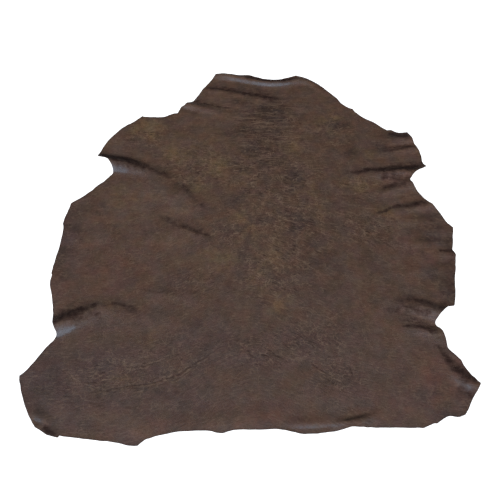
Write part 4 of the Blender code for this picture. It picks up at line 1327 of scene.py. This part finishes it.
# The studio
KEY_STRENGTH = 5.0
KEY_HEIGHT = math.radians(45)
KEY_SOFTNESS = math.radians(20)
KEY_COLOUR = (1.0, 0.97, 0.94)
SOFTBOX_SIZE = (13.5, 6.0)
SOFTBOX_PLACE = (-1.3, -4.4, 6.6)
SOFTBOX_TILT = math.radians(30)
SOFTBOX_POWER = 740.0
SOFTBOX_COLOUR = (0.56, 0.76, 1.0)
SKY_STRENGTH = 0.10
SKY_COLOUR = (0.85, 0.92, 1.0, 1.0)
FLOOR_SIZE = 60.0
FLOOR_COLOUR = (0.30, 0.30, 0.30, 1.0)
FLOOR_GLOW = 0.95
FLOOR_GAP = 0.0003


def make_camera():
    """The camera at the photo's angle."""
    lens = bpy.data.cameras.new("camera")
    lens.lens = LENS
    lens.sensor_width = SENSOR
    camera = bpy.data.objects.new("camera", lens)
    camera.location = CAMERA_PLACE
    camera.rotation_euler = (math.pi / 2 - CAMERA_DOWN, 0.0, 0.0)
    bpy.context.scene.collection.objects.link(camera)
    bpy.context.scene.camera = camera


def make_floor():
    """A plain white floor, bright to the camera alone, so that the folds' far sides don't mirror it."""
    bpy.ops.mesh.primitive_plane_add(size=FLOOR_SIZE, location=(0.0, 0.0, -FLOOR_GAP))
    floor = bpy.context.object
    floor.name = "floor"
    material = bpy.data.materials.new("white floor")
    material.use_nodes = True
    nodes = Nodes(material.node_tree)
    shader = material.node_tree.nodes["Principled BSDF"]
    shader.inputs["Base Color"].default_value = FLOOR_COLOUR
    shader.inputs["Roughness"].default_value = 1.0
    shader.inputs["Specular IOR Level"].default_value = 0.0
    shader.inputs["Emission Color"].default_value = (1.0, 1.0, 1.0, 1.0)
    seen = nodes.add("ShaderNodeLightPath").outputs["Is Camera Ray"]
    glow = nodes.ramp(seen, low=0.0, high=1.0, start=0.0, stop=FLOOR_GLOW)
    nodes.tree.links.new(glow, shader.inputs["Emission Strength"])
    floor.data.materials.append(material)


def make_lights():
    """A key light from beyond the tail edge, and a cool softbox that the folds' near sides mirror."""
    key = bpy.data.lights.new("key light", "SUN")
    key.energy = KEY_STRENGTH
    key.angle = KEY_SOFTNESS
    key.color = KEY_COLOUR
    lamp = bpy.data.objects.new("key light", key)
    lamp.rotation_euler = (math.pi / 2 - KEY_HEIGHT, 0.0, 0.0)
    lamp.visible_glossy = False
    bpy.context.scene.collection.objects.link(lamp)
    softbox = bpy.data.lights.new("overhead softbox", "AREA")
    softbox.shape = "RECTANGLE"
    softbox.size, softbox.size_y = SOFTBOX_SIZE
    softbox.energy = SOFTBOX_POWER
    softbox.color = SOFTBOX_COLOUR
    box = bpy.data.objects.new("overhead softbox", softbox)
    box.location = SOFTBOX_PLACE
    box.rotation_euler = (SOFTBOX_TILT, 0.0, 0.0)
    bpy.context.scene.collection.objects.link(box)


def make_sky():
    """A white background for the camera, and a faint cool light from all around for the rest."""
    world = bpy.data.worlds.new("studio")
    world.use_nodes = True
    nodes = Nodes(world.node_tree)
    sky = world.node_tree.nodes["Background"]
    sky.inputs["Color"].default_value = SKY_COLOUR
    seen = nodes.add("ShaderNodeLightPath").outputs["Is Camera Ray"]
    glow = nodes.ramp(seen, low=0.0, high=1.0, start=SKY_STRENGTH, stop=1.0)
    nodes.tree.links.new(glow, sky.inputs["Strength"])
    bpy.context.scene.world = world


make_camera()
leather = make_hide()
make_floor()
make_lights()
make_sky()
bpy.context.scene.view_settings.view_transform = "Standard"
